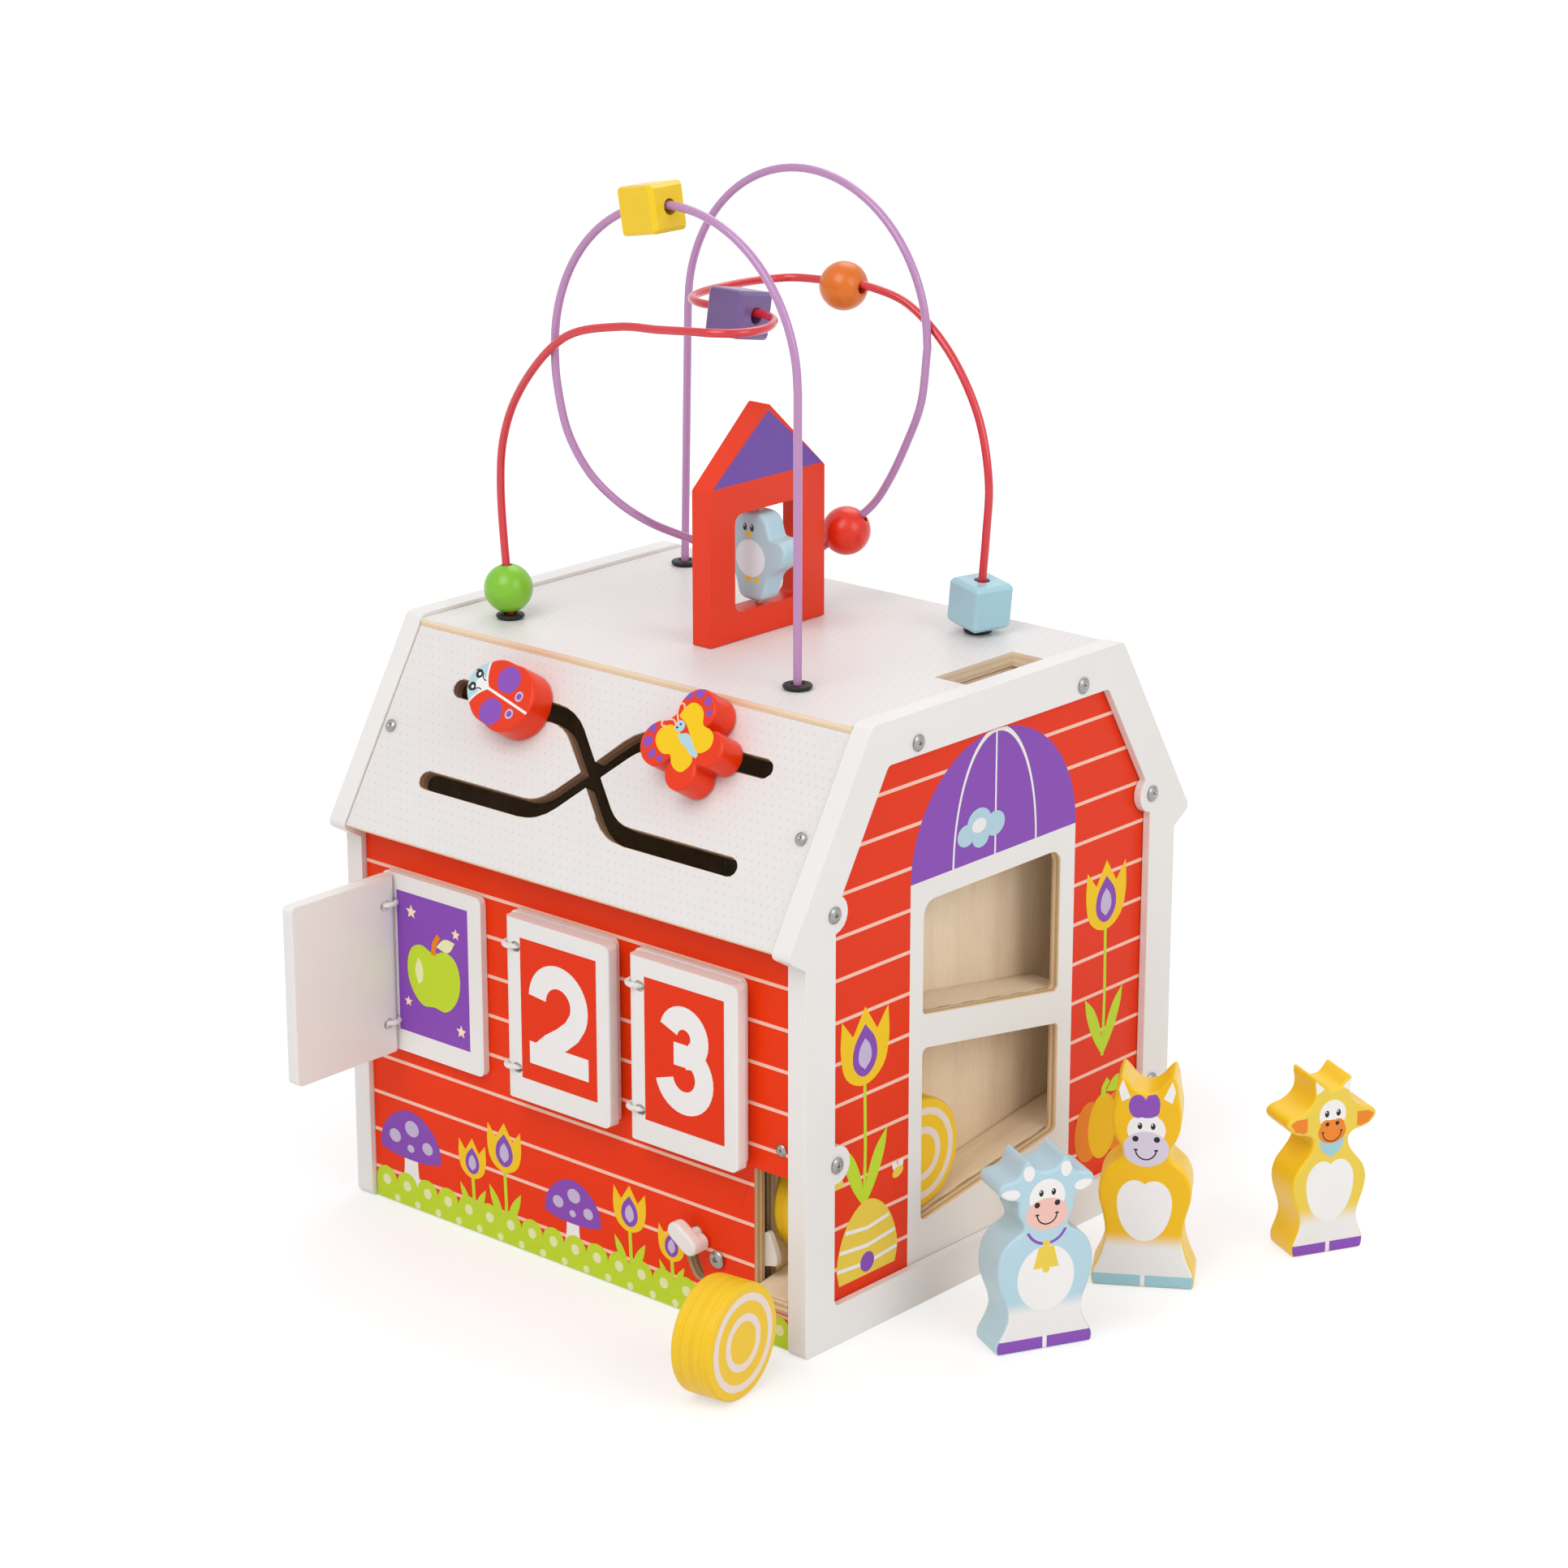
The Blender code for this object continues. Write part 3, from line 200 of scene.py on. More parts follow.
class Finish:
    """A material's sheet of nodes round its Principled shader."""

    def __init__(self, name):
        self.material = bpy.data.materials.new(name)
        self.material.use_nodes = True
        self.tree = self.material.node_tree
        self.shader = self.tree.nodes["Principled BSDF"]
        self.spot = self.node("ShaderNodeTexCoord", {}, [], "Object")
        self.facing = self.node("ShaderNodeTexCoord", {}, [], "Normal")
        self.x, self.y, self.z = self.parts(self.spot)

    def node(self, kind, settings, values, output=0):
        """Makes a node, sets it, then feeds the values or links of its sockets."""
        node = self.tree.nodes.new(kind)
        for key, value in settings.items():
            setattr(node, key, value)
        pairs = values.items() if isinstance(values, dict) else enumerate(values)
        for key, value in pairs:
            self.feed(node.inputs[key], value)
        return Signal(self, node.outputs[output])

    def feed(self, socket, value):
        if isinstance(value, Signal):
            self.tree.links.new(value.socket, socket)
        else:
            socket.default_value = value

    def parts(self, vector):
        split = self.node("ShaderNodeSeparateXYZ", {}, [vector]).socket.node
        return [Signal(self, socket) for socket in split.outputs]

    def noise(self, size, detail=2, stretch=(1, 1, 1)):
        """Noise from 0 to 1, its patches about a size across, longer where stretch is small."""
        scale = [share / size for share in stretch]
        spot = self.node("ShaderNodeVectorMath", {"operation": "MULTIPLY"}, [self.spot, scale])
        return self.node("ShaderNodeTexNoise", {}, {"Vector": spot, "Scale": 1, "Detail": detail})

    def mix(self, factor, under, over):
        settings = {"data_type": "RGBA"}
        return self.node("ShaderNodeMix", settings, {0: factor, 6: under, 7: over}, 2)

    def shade(self, colour, factor):
        """A colour made darker or lighter by a factor near 1."""
        settings = {"operation": "SCALE"}
        vector = colour if isinstance(colour, Signal) else colour[:3]
        return self.node("ShaderNodeVectorMath", settings, {0: vector, 3: factor})

    def along(self, vector, axis):
        """How far a vector of the surface goes along an axis."""
        settings = {"operation": "DOT_PRODUCT"}
        return self.node("ShaderNodeVectorMath", settings, [vector, tuple(axis)], 1)

    def turned_from(self, axis):
        """Mask of the faces that look away from an axis, such as a board's cut edges."""
        return abs(self.along(self.facing, axis)) < edge_turn

    def coat(self, colour, roughness, height=None, depth=0, gloss=0, mirror=0.25):
        """Feeds the Principled shader, with a bump of a depth in metres."""
        self.feed(self.shader.inputs["Base Color"], colour)
        self.feed(self.shader.inputs["Roughness"], roughness)
        self.shader.inputs["Specular IOR Level"].default_value = mirror
        self.shader.inputs["Coat Weight"].default_value = gloss
        self.shader.inputs["Coat Roughness"].default_value = coat_roughness
        if height:
            values = {"Height": height, "Distance": depth, "Strength": 1}
            self.feed(self.shader.inputs["Normal"], self.node("ShaderNodeBump", {}, values))
        return self.material


def tone(red, green, blue):
    """Linear colour of an 8-bit screen colour."""
    linear = []
    for value in (red, green, blue):
        share = value / 255
        linear.append(share / 12.92 if share <= 0.04045 else ((share + 0.055) / 1.055) ** 2.4)
    return (*linear, 1)


# %% [markdown]
# ## Colours
# The paints are written as screen colours, as a maker would match them to a sample, and
# `tone` makes them linear for the shader. One table keeps each colour in one place, so the
# same purple is on the arch, the ladybird and the toadstools.

# %% Colours
colours = {
    "white": tone(237, 234, 231),
    "roof_white": tone(232, 228, 226),
    "belly_white": tone(234, 246, 252),
    "floor_white": tone(240, 240, 240),
    "red": tone(232, 52, 6),
    "wall_red": tone(238, 56, 8),
    "line_pink": tone(250, 200, 180),
    "purple": tone(138, 77, 181),
    "purple_deep": tone(111, 74, 167),
    "lilac": tone(200, 186, 216),
    "pale_lilac": tone(214, 204, 222),
    "roof_dot": tone(204, 196, 210),
    "yellow": tone(246, 201, 34),
    "yellow_deep": tone(226, 168, 10),
    "orange": tone(236, 132, 30),
    "sun": tone(236, 205, 75),
    "sun_deep": tone(242, 188, 10),
    # Lighter yellow for the horse's and goat's sides: painted light that lifts sides the lamps
    # leave in shade.
    "sun_lit_side": tone(246, 204, 36),
    "lime": tone(195, 220, 50),
    "pale_lime": tone(235, 235, 180),
    "light_blue": tone(181, 212, 224),
    "blue_band": tone(160, 203, 212),
    "cream": tone(250, 226, 190),
    "pink": tone(240, 192, 180),
    "black": tone(28, 24, 24),
    "print_white": tone(241, 238, 236),
    "wire_purple": tone(184, 132, 182),
    "wire_red": tone(212, 32, 46),
    "ply": tone(232, 206, 168),
    "ply_dark": tone(186, 148, 106),
    "inner_ply": tone(246, 226, 198),
    "inside_ply": tone(250, 236, 216),
    "burnt": tone(142, 104, 80),
    "burnt_light": tone(166, 134, 108),
}
print(len(colours), "colours")

# %% [markdown]
# ## Floor and world
# The photograph has a pure white ground with a soft contact shadow. A Shadow Catcher could
# give that in compositing, but this file uses no compositor. So the floor shows real light
# near the barn and plain white farther out, and mirrors see the same white.

# %% Floor and world
mirror_rays = ("Is Glossy Ray", "Is Transmission Ray")
floor_size = 8
floor_near, floor_far = 0.15, 0.42
world_light = 0.54


def studio_surface(name, lit_share, near, far):
    """White to the camera and to mirrors, with real light near the toy so that its shadow stays."""
    sheet = Finish(name)
    sheet.shader.inputs["Base Color"].default_value = colours["floor_white"]
    sheet.shader.inputs["Roughness"].default_value = 0.9
    path = sheet.node("ShaderNodeLightPath", {}, []).socket.node
    seen = Signal(sheet, path.outputs["Is Camera Ray"])
    for other in mirror_rays:
        seen = seen | Signal(sheet, path.outputs[other])
    glow = sheet.node("ShaderNodeEmission", {}, {"Color": (1, 1, 1, 1), "Strength": 1.25})
    away = (sheet.x * sheet.x + sheet.y * sheet.y).math("SQRT")
    white_share = 1 - (1 - away.ease(near, far)) * lit_share
    lit = Signal(sheet, sheet.shader.outputs[0])
    blend = sheet.node("ShaderNodeMixShader", {}, [seen * white_share, lit, glow])
    sheet.tree.links.new(blend.socket, sheet.tree.nodes["Material Output"].inputs["Surface"])
    return sheet.material


bpy.ops.mesh.primitive_plane_add(size=floor_size)
floor = bpy.context.object
floor.name = "floor"
floor.data.materials.append(studio_surface("floor", 0.6, floor_near, floor_far))

world = bpy.data.worlds.new("studio")
bpy.context.scene.world = world
world.use_nodes = True
sky = world.node_tree
path = sky.nodes.new("ShaderNodeLightPath")
seen = path.outputs["Is Camera Ray"]
for other in mirror_rays:
    either = sky.nodes.new("ShaderNodeMath")
    either.operation = "MAXIMUM"
    sky.links.new(seen, either.inputs[0])
    sky.links.new(path.outputs[other], either.inputs[1])
    seen = either.outputs[0]
level = sky.nodes.new("ShaderNodeMapRange")
level.inputs["To Min"].default_value = world_light
level.inputs["To Max"].default_value = 1
sky.links.new(seen, level.inputs["Value"])
sky.links.new(level.outputs[0], sky.nodes["Background"].inputs["Strength"])
sky.nodes["Background"].inputs["Color"].default_value = (1, 1, 1, 1)

# %% [markdown]
# ## Wood and paint
# Painted toys are sprayed over sanded ply: the coat is smooth, a little cloudy, and its
# gloss changes slightly from place to place. Cut edges show the ply's layers. Each finish
# reads Object coordinates, and every piece sits at the origin, so a size in the material
# is a real size.

# %% Finishes
veneer = 1.3 * mm
upright_grain = (1, 1, 0.07)
level_grain = (1, 0.07, 1)


def painted(name, colour, roughness=0.36, gloss=0.1, mirror=0.25):
    """Sprayed paint: slightly cloudy, with fine orange peel."""
    sheet = Finish(name)
    cloud = sheet.noise(60 * mm, 3)
    peel = sheet.noise(0.9 * mm, 1)
    base = sheet.shade(colour, 0.965 + cloud * 0.07)
    return sheet.coat(base, roughness + cloud * 0.12 - 0.06, peel, 0.012 * mm, gloss, mirror)


def ply_layers(sheet, across, light="ply", dark="ply_dark"):
    """Colour of a cut ply edge, with its layers stacked along a place in metres."""
    drift = sheet.noise(9 * mm, 2) * (0.35 * mm)
    layer = ((across + drift).wrap(2 * veneer) / veneer > 1) * 0.7
    fibre = sheet.noise(0.35 * mm, 2)
    base = sheet.mix(layer, colours[light], colours[dark])
    return sheet.shade(base, 0.86 + fibre * 0.28)


def grain(sheet, stretch, light="ply"):
    """Bare ply face: pale, with long fibres and a slow figure."""
    fibre = sheet.noise(0.7 * mm, 3, stretch)
    figure = sheet.noise(14 * mm, 2, stretch)
    base = sheet.mix(figure.ease(0.35, 0.75) * 0.25, colours[light], colours["ply_dark"])
    return sheet.shade(base, 0.9 + fibre * 0.2), fibre


def bare_ply(name, normal, stretch, light="ply"):
    """Unpainted ply board, whose faces look along a normal."""
    sheet = Finish(name)
    face, fibre = grain(sheet, stretch, light)
    layers = ply_layers(sheet, sheet.along(sheet.spot, normal))
    base = sheet.mix(sheet.turned_from(normal), face, layers)
    return sheet.coat(base, 0.62 + fibre * 0.1, fibre, 0.03 * mm)


def board_coat(sheet, paint, normal, edges=("ply", "ply_dark"), scorched=None, mirror=0.14):
    """Paint on a board's outer face, layered ply on its edges and bare ply inside."""
    look = sheet.along(sheet.facing, normal)
    through = sheet.along(sheet.spot, normal)
    outer = look * through > 0
    cut = abs(look) < edge_turn
    bare, fibre = grain(sheet, upright_grain, "inside_ply")
    rim = ply_layers(sheet, through, *edges)
    if scorched:
        rim = sheet.mix(scorched, rim, ply_layers(sheet, through, "burnt_light", "burnt"))
    cloud = sheet.noise(60 * mm, 3)
    face = sheet.mix(outer, bare, sheet.shade(paint, 0.97 + cloud * 0.06))
    roughness = 0.36 + (cut | (1 - outer)) * 0.3
    return sheet.coat(sheet.mix(cut, face, rim), roughness, fibre, 0.01 * mm, mirror / 4, mirror)


ink_materials = {}


def ink(colour):
    """Printed or brushed colour, made once for each name."""
    if colour not in ink_materials:
        ink_materials[colour] = painted("ink_" + colour, colours[colour], 0.42, 0.03, 0.12)
    return ink_materials[colour]


# %% [markdown]
# ## Soft edges on CAD boards
# A packed board is exact but razor sharp. A copy of it gets its doubles merged, its flat
# triangles dissolved and a small Bevel, and then it stands for the board. The board itself
# is never touched.

# %% Copies of a board
weld = 0.01 * mm
flat_enough = math.radians(0.5)
crease_angle = math.radians(35)


def merged_copy(node):
    """A bmesh of a CAD node with shared corners and whole flat faces."""
    bm = bmesh.new()
    bm.from_mesh(nodes[node].data)
    bmesh.ops.remove_doubles(bm, verts=bm.verts, dist=weld)
    bmesh.ops.dissolve_limit(bm, angle_limit=flat_enough, verts=bm.verts, edges=bm.edges)
    return bm


def body_of(node):
    return next(name for name, members in bodies.items() if node in members)


def new_piece(name, bm, materials):
    """Object at the origin from a bmesh in the frame's metres."""
    bmesh.ops.recalc_face_normals(bm, faces=bm.faces)
    mesh = bpy.data.meshes.new(name)
    bm.to_mesh(mesh)
    bm.free()
    piece = bpy.data.objects.new(name, mesh)
    bpy.context.scene.collection.objects.link(piece)
    for material in materials:
        mesh.materials.append(material)
    return piece


def keep_result(piece):
    """Applies a piece's modifiers by taking its evaluated mesh."""
    bpy.context.view_layer.update()
    evaluated = piece.evaluated_get(bpy.context.evaluated_depsgraph_get())
    result = bpy.data.meshes.new_from_object(evaluated)
    piece.modifiers.clear()
    piece.data = result
    return piece


def smooth(piece, angle=35):
    """Smooth shading that keeps sharp edges sharp and large flat faces flat."""
    piece.data.shade_smooth()
    piece.data.set_sharp_from_angle(angle=math.radians(angle))
    weighted = piece.modifiers.new("weighted", "WEIGHTED_NORMAL")
    weighted.keep_sharp = True
    return keep_result(piece)


def stand_for(piece, node):
    """The piece takes a CAD node's body and its place in the picture."""
    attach(piece, body_of(node))
    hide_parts(node)
    print(node, "rides", body_of(node), "with", len(piece.data.polygons), "faces")


# %% Soften


def soften(node, width, material, segments=2, trim=None):
    """Copy of a board with eased edges, after an optional trim of its bmesh."""
    bm = merged_copy(node)
    if trim:
        trim(bm)
    piece = new_piece(node + "_board", bm, [material])
    bevel = piece.modifiers.new("edge", "BEVEL")
    bevel.width = width
    bevel.segments = segments
    bevel.limit_method = "ANGLE"
    bevel.angle_limit = crease_angle
    bevel.miter_outer = "MITER_ARC"
    stand_for(smooth(keep_result(piece)), node)


# %% [markdown]
# ## End frames and gable panels
# The frames are solid white boards with well rounded edges. The panels behind them carry
# the printed siding. Its lines are one expression of the height, and the white window
# surround and the purple arch are masks over it.

# %% Frames
white_frame = painted("frame_paint", colours["white"], 0.34)
for side in ("right", "left"):
    soften(f"gable_frame_{side}", 1.1 * mm, white_frame, 3)

# %% Siding print
siding_line = 1.5 * mm


def siding(sheet, start, pitch):
    """Mask of the printed lines between boards, from one line's height and the pitch."""
    return (sheet.z - (start - siding_line / 2)).wrap(pitch) < siding_line


gable_line = 168 * mm
gable_pitch = 17.25 * mm
arch_spring, arch_crown = 178 * mm, 230 * mm
surround_left, surround_right = -51 * mm, 54 * mm
rib_width = 1.0 * mm


def gable_finish():
    """Siding, a white window surround and a ribbed half-round arch over it."""
    sheet = Finish("gable_print")
    y, z = sheet.y, sheet.z
    lines = siding(sheet, gable_line, gable_pitch)
    base = sheet.mix(lines, colours["red"], colours["line_pink"])
    middle = (surround_left + surround_right) / 2
    half = (surround_right - surround_left) / 2
    up = (z - arch_spring) / (arch_crown - arch_spring)
    over = (y - middle) / half
    arch = ((over * over + up * up) < 1) & (z > arch_spring)
    span = over * 2
    ring = abs((span * span + up * up).math("SQRT") - 1)
    ribs = (abs(y - middle) < rib_width / 2) | (ring < (1.1 * rib_width / half))
    base = sheet.mix(arch, base, sheet.mix(ribs, colours["purple"], colours["print_white"]))
    surround = y.between(surround_left, surround_right) & (z < arch_spring)
    return board_coat(sheet, sheet.mix(surround, base, colours["white"]), X)


gable_board = gable_finish()
for side in ("right", "left"):
    soften(f"gable_panel_{side}", 0.3 * mm, gable_board, 1)

# %% [markdown]
# ## Roof and walls
# The slanted roof and the flat roof have a faint dotted print. The slots of the track were
# cut with hot tools, so their walls are dark brown. Only outer faces are painted: inside,
# the boards are bare ply.

# %% Roof
slope_normal = Vector((0, -0.8584, 0.5130))
slope_top = Vector((0, -80.7 * mm, 246.8 * mm))
slope_down = X.cross(slope_normal)
rear_normal = Vector((0, -slope_normal.y, slope_normal.z))
track_reach = 112 * mm
track_top = 4 * mm
track_depth = 66 * mm
dot_step = 3.8 * mm
dot_radius = 0.55 * mm
board_easing = 0.35 * mm


def dotted_roof(name, normal, burnt=False):
    """White boards with a faint staggered dot print, and a burnt track where asked."""
    sheet = Finish(name)
    down = sheet.along(sheet.spot, X.cross(normal))
    row = (down / dot_step).math("FLOOR")
    across = (sheet.x + row * (dot_step / 2)).wrap(dot_step) - dot_step / 2
    drop = down.wrap(dot_step) - dot_step / 2
    dots = (across * across + drop * drop).math("SQRT") < dot_radius
    paint = sheet.mix(dots * 0.35, colours["roof_white"], colours["roof_dot"])
    track = None
    if burnt:
        start = slope_top.dot(slope_down)
        track = (abs(sheet.x) < track_reach) & down.between(start + track_top, start + track_depth)
    return board_coat(sheet, paint, normal, ("inner_ply", "ply"), track)


soften("roof_slope_front", board_easing, dotted_roof("track_roof", slope_normal, True), 1)
soften("roof_slope_rear", board_easing, dotted_roof("rear_roof", rear_normal), 1)
soften("roof_top_panel", board_easing, dotted_roof("top_roof", Z), 1)

# %% [markdown]
# ## Walls and inside boards
# The long walls are red with the same pale siding lines as the gables, and the boards
# inside are bare. Lines and colour come from the boards' own coordinates, not from an
# unwrapped picture, so both walls share one paint.

# %% Walls
wall_face = 115 * mm
wall_line = 151.3 * mm
wall_pitch = 17.17 * mm
wall_sheet = Finish("wall_print")
wall_lines = siding(wall_sheet, wall_line, wall_pitch)
wall_paint = wall_sheet.mix(wall_lines, colours["wall_red"], colours["line_pink"])
wall_board = board_coat(wall_sheet, wall_paint, Y, mirror=0.1)
for side in ("front", "rear"):
    soften(f"side_panel_{side}", board_easing, wall_board, 1)

soften("bay_inner_wall", 0.2 * mm, bare_ply("inner_ply", X, upright_grain, "inner_ply"), 1)
ramp_ply = bare_ply("ramp_ply", Z, level_grain, "inner_ply")
for node in ("upper_ramp", "lower_ramp", "base_board"):
    soften(node, 0.3 * mm, ramp_ply, 1)

# %% [markdown]
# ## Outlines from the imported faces
# The flat face of a cut-out piece already holds its outline. The loops round it are read
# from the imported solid, run through a smooth curve, and built again with round edges.

# %% Loops from a face
same_way = 0.999
same_plane = 0.05 * mm


def face_loops(node, axis):
    """Closed loops round the outermost flat faces that look along an axis, longest first."""
    bm = merged_copy(node)
    faces = {face for face in bm.faces if face.normal.dot(axis) > same_way}
    top = max(face.calc_center_median().dot(axis) for face in faces)
    faces = {face for face in faces if face.calc_center_median().dot(axis) > top - same_plane}
    follow = {}
    for face in faces:
        for loop in face.loops:
            if not any(other in faces for other in loop.edge.link_faces if other != face):
                follow[loop.vert] = loop.link_loop_next.vert
    loops = []
    while follow:
        start, vert = follow.popitem()
        run = [start.co.copy()]
        while vert != start:
            run.append(vert.co.copy())
            vert = follow.pop(vert)
        loops.append(run)
    bm.free()
    return sorted(loops, key=len, reverse=True)


def plane(origin, u, v):
    """Placement whose x and y run along u and v, and whose z looks out of the plane."""
    place = Matrix((u, v, u.cross(v))).transposed().to_4x4()
    place.translation = Vector(origin)
    return place


def flattened(loop, place):
    """A loop of points as an outline in a placement's own x and y."""
    back = place.inverted()
    return [tuple((back @ point)[:2]) for point in loop]


def counterclockwise(outline):
    area = sum(a[0] * b[1] - a[1] * b[0] for a, b in zip(outline, [*outline[1:], outline[0]]))
    return list(outline) if area > 0 else list(outline)[::-1]


# %% [markdown]
# ## Smooth outlines
# A jigsaw leaves flowing sides and a few real corners. A Subdivision Surface would round the
# corners too, so the outline itself is drawn through its points by a curve that keeps every
# turn sharper than a set angle. Even spacing then lets an edge be rounded without crossing.

# %% Smooth outlines


def flowing(points, steps=4, crease=50):
    """Closed outline that runs smoothly through points and keeps its sharp corners."""
    points = [Vector(point) for point in points]
    count = len(points)
    sharp = []
    for i, here in enumerate(points):
        turn = (here - points[i - 1]).angle(points[(i + 1) % count] - here, 0)
        sharp.append(math.degrees(turn) > crease)
    outline = []
    for i, here in enumerate(points):
        j = (i + 1) % count
        step = points[j] - here
        leave = step if sharp[i] else (points[j] - points[i - 1]).normalized() * step.length
        reach = step if sharp[j] else (points[(j + 1) % count] - here).normalized() * step.length
        for k in range(steps):
            t = k / steps
            curve = here * (2 * t ** 3 - 3 * t ** 2 + 1) + leave * (t ** 3 - 2 * t ** 2 + t)
            curve += points[j] * (3 * t ** 2 - 2 * t ** 3) + reach * (t ** 3 - t ** 2)
            outline.append(tuple(curve))
    return outline


outline_spacing = 0.8 * mm
rounding_passes = 3


def evened(outline):
    """The outline with evenly spaced points, its sharp corners slightly rounded."""
    corners = [Vector(point) for point in outline]
    sides = [(b - a).length for a, b in zip(corners, corners[1:] + corners[:1])]
    count = round(sum(sides) / outline_spacing)
    points, side, passed = [], 0, 0
    for i in range(count):
        target = sum(sides) * i / count
        while passed + sides[side] < target:
            passed += sides[side]
            side += 1
        ahead = corners[(side + 1) % len(corners)]
        points.append(corners[side].lerp(ahead, (target - passed) / sides[side]))
    for _ in range(rounding_passes):
        around = zip(points[-1:] + points, points, points[1:] + points[:1])
        points = [(before + 2 * here + after) / 4 for before, here, after in around]
    return [tuple(point) for point in points]


# %% [markdown]
# ## Blocks with rounded edges
# The animals and sliders are thick boards whose edges were rounded on a router table. A
# Bevel on such a bent outline overlaps itself in the tight corners. So the skin is stacked
# ring by ring, and each corner's radius shrinks to the room that the outline leaves there.

# %% Blocks


def inward(outline):
    """Inward normal and mitre share at each corner of a counterclockwise outline."""
    found = []
    for before, here, after in zip(outline[-1:] + outline, outline, outline[1:] + outline[:1]):
        arriving = (Vector(here) - Vector(before)).normalized()
        leaving = (Vector(after) - Vector(here)).normalized()
        normal = Vector((-arriving.y - leaving.y, arriving.x + leaving.x)).normalized()
        found.append((normal, max(normal.dot(Vector((-leaving.y, leaving.x))), 0.6)))
    return found


def inset(outline, distance):
    """Counterclockwise outline moved inward, or outward where the distance is negative."""
    moved = []
    for point, (normal, share) in zip(outline, inward(outline)):
        moved.append(tuple(Vector(point) + normal * distance / share))
    return moved


def room(outline, most):
    """At each corner, the radius of the widest circle that fits inside there, up to a most."""
    radii = []
    for point, (normal, share) in zip(outline, inward(outline)):
        radius = most
        for other in outline:
            reach = Vector(other) - Vector(point)
            if reach.dot(normal) > 0:
                radius = min(radius, 0.85 * reach.length_squared / (2 * reach.dot(normal)))
        radii.append(radius)
    return radii


def stack(bm, rings, place):
    """Closed skin over rings of equal count, first to last, each a list of 3-D points."""
    loops = [[bm.verts.new(place @ Vector(point)) for point in ring] for ring in rings]
    made = [bm.faces.new(loops[0][::-1]), bm.faces.new(loops[-1])]
    for low, high in zip(loops, loops[1:]):
        for i in range(len(low)):
            j = (i + 1) % len(low)
            made.append(bm.faces.new((low[i], low[j], high[j], high[i])))
    return made


def at_height(outline, height):
    return [(*point, height) for point in outline]


edge_steps = 4


def slab(name, outline, thickness, edge, place, material):
    """Block over an outline, centred on the placement's plane, with rounded edges.

    Where the outline turns tightly, the rounding gets smaller so that it never crosses itself.
    """
    outline = evened(counterclockwise(outline))
    spots = list(zip(outline, inward(outline), room(outline, edge)))
    rings = []
    for k in range(edge_steps + 1):
        turn = math.pi / 2 * k / edge_steps
        ring = []
        for point, (normal, share), radius in spots:
            moved = Vector(point) + normal * radius * (1 - math.sin(turn)) / share
            ring.append((*moved, radius * (1 - math.cos(turn)) - thickness / 2))
        rings.append(ring)
    rings += [[(u, v, -height) for u, v, height in ring] for ring in reversed(rings)]
    bm = bmesh.new()
    stack(bm, rings, place)
    return smooth(new_piece(name, bm, [material]))


# %% [markdown]
# ## Turned pieces
# Beads, wheels, grommets, cord loops and screw heads are round about an axis. The Screw
# modifier would turn a profile as well, but a skin made point by point can close on itself,
# end in a pole, and give each stretch of the profile its own paint.

# %% Turned pieces


def turned(bm, profile, place, steps, closed=False, paint=()):
    """Skin turned round the placement's z axis, through (radius, height) points."""
    rings = []
    for radius, height in profile:
        count = steps if radius > 0 else 1
        turns = [2 * math.pi * i / steps for i in range(count)]
        spots = [Vector((radius * math.cos(t), radius * math.sin(t), height)) for t in turns]
        rings.append([bm.verts.new(place @ spot) for spot in spots])
    pairs = list(zip(rings, rings[1:])) + ([(rings[-1], rings[0])] if closed else [])
    for k, (low, high) in enumerate(pairs):
        for i in range(steps):
            j = (i + 1) % steps
            corners = [low[i % len(low)], low[j % len(low)]]
            corners += [high[j % len(high)], high[i % len(high)]]
            face = bm.faces.new(list(dict.fromkeys(corners)))
            face.material_index = paint[k] if k < len(paint) else 0


def round_bend(centre, radius, begin, end, steps):
    """Points on an arc about a centre, with its angles in degrees."""
    points = []
    for i in range(steps + 1):
        t = math.radians(begin + (end - begin) * i / steps)
        points.append((centre[0] + radius * math.cos(t), centre[1] + radius * math.sin(t)))
    return points


# %% [markdown]
# ## Sliders on the track
# Each slider is a thick block of painted wood with well rounded edges. Its print is a mask
# in the block's own flat coordinates, so it keeps its size and turns with the block.

# %% Masks in millimetres


def flat_signals(sheet, place):
    """Signals for the place across and up a printed face, in millimetres."""
    back = place.inverted()
    return [(sheet.along(sheet.spot, back[row][:3]) + back[row][3]) / mm for row in (0, 1)]


def turned_signals(u, v, degrees):
    c, s = math.cos(math.radians(degrees)), math.sin(math.radians(degrees))
    return u * c + v * s, v * c - u * s


def away(u, v, centre_u, centre_v):
    """Distance from a centre."""
    across = u - centre_u
    up = v - centre_v
    return (across * across + up * up).math("SQRT")


def oval(u, v, centre_u, centre_v, half_u, half_v):
    across = (u - centre_u) / half_u
    up = (v - centre_v) / half_v
    return across * across + up * up < 1


def smile(u, v, centre_u, centre_v, radius, width=0.3):
    """Lower half of a thin ring, with a short tick at each end."""
    line = (abs(away(u, v, centre_u, centre_v) - radius) < width) & (v < centre_v)
    for side in (-1, 1):
        line = line | oval(u, v, centre_u + side * radius, centre_v, 3 * width, 1.3 * width)
    return line


def convex(u, v, corners):
    """Mask inside a convex outline, whose corners run counterclockwise."""
    mask = None
    for a, b in zip(corners, corners[1:] + corners[:1]):
        inside = (v - a[1]) * (b[0] - a[0]) - (u - a[0]) * (b[1] - a[1]) > 0
        mask = mask & inside if mask else inside
    return mask


def mirrored(corners):
    """A counterclockwise outline on the other side of u = 0."""
    return [(-u, v) for u, v in reversed(corners)]


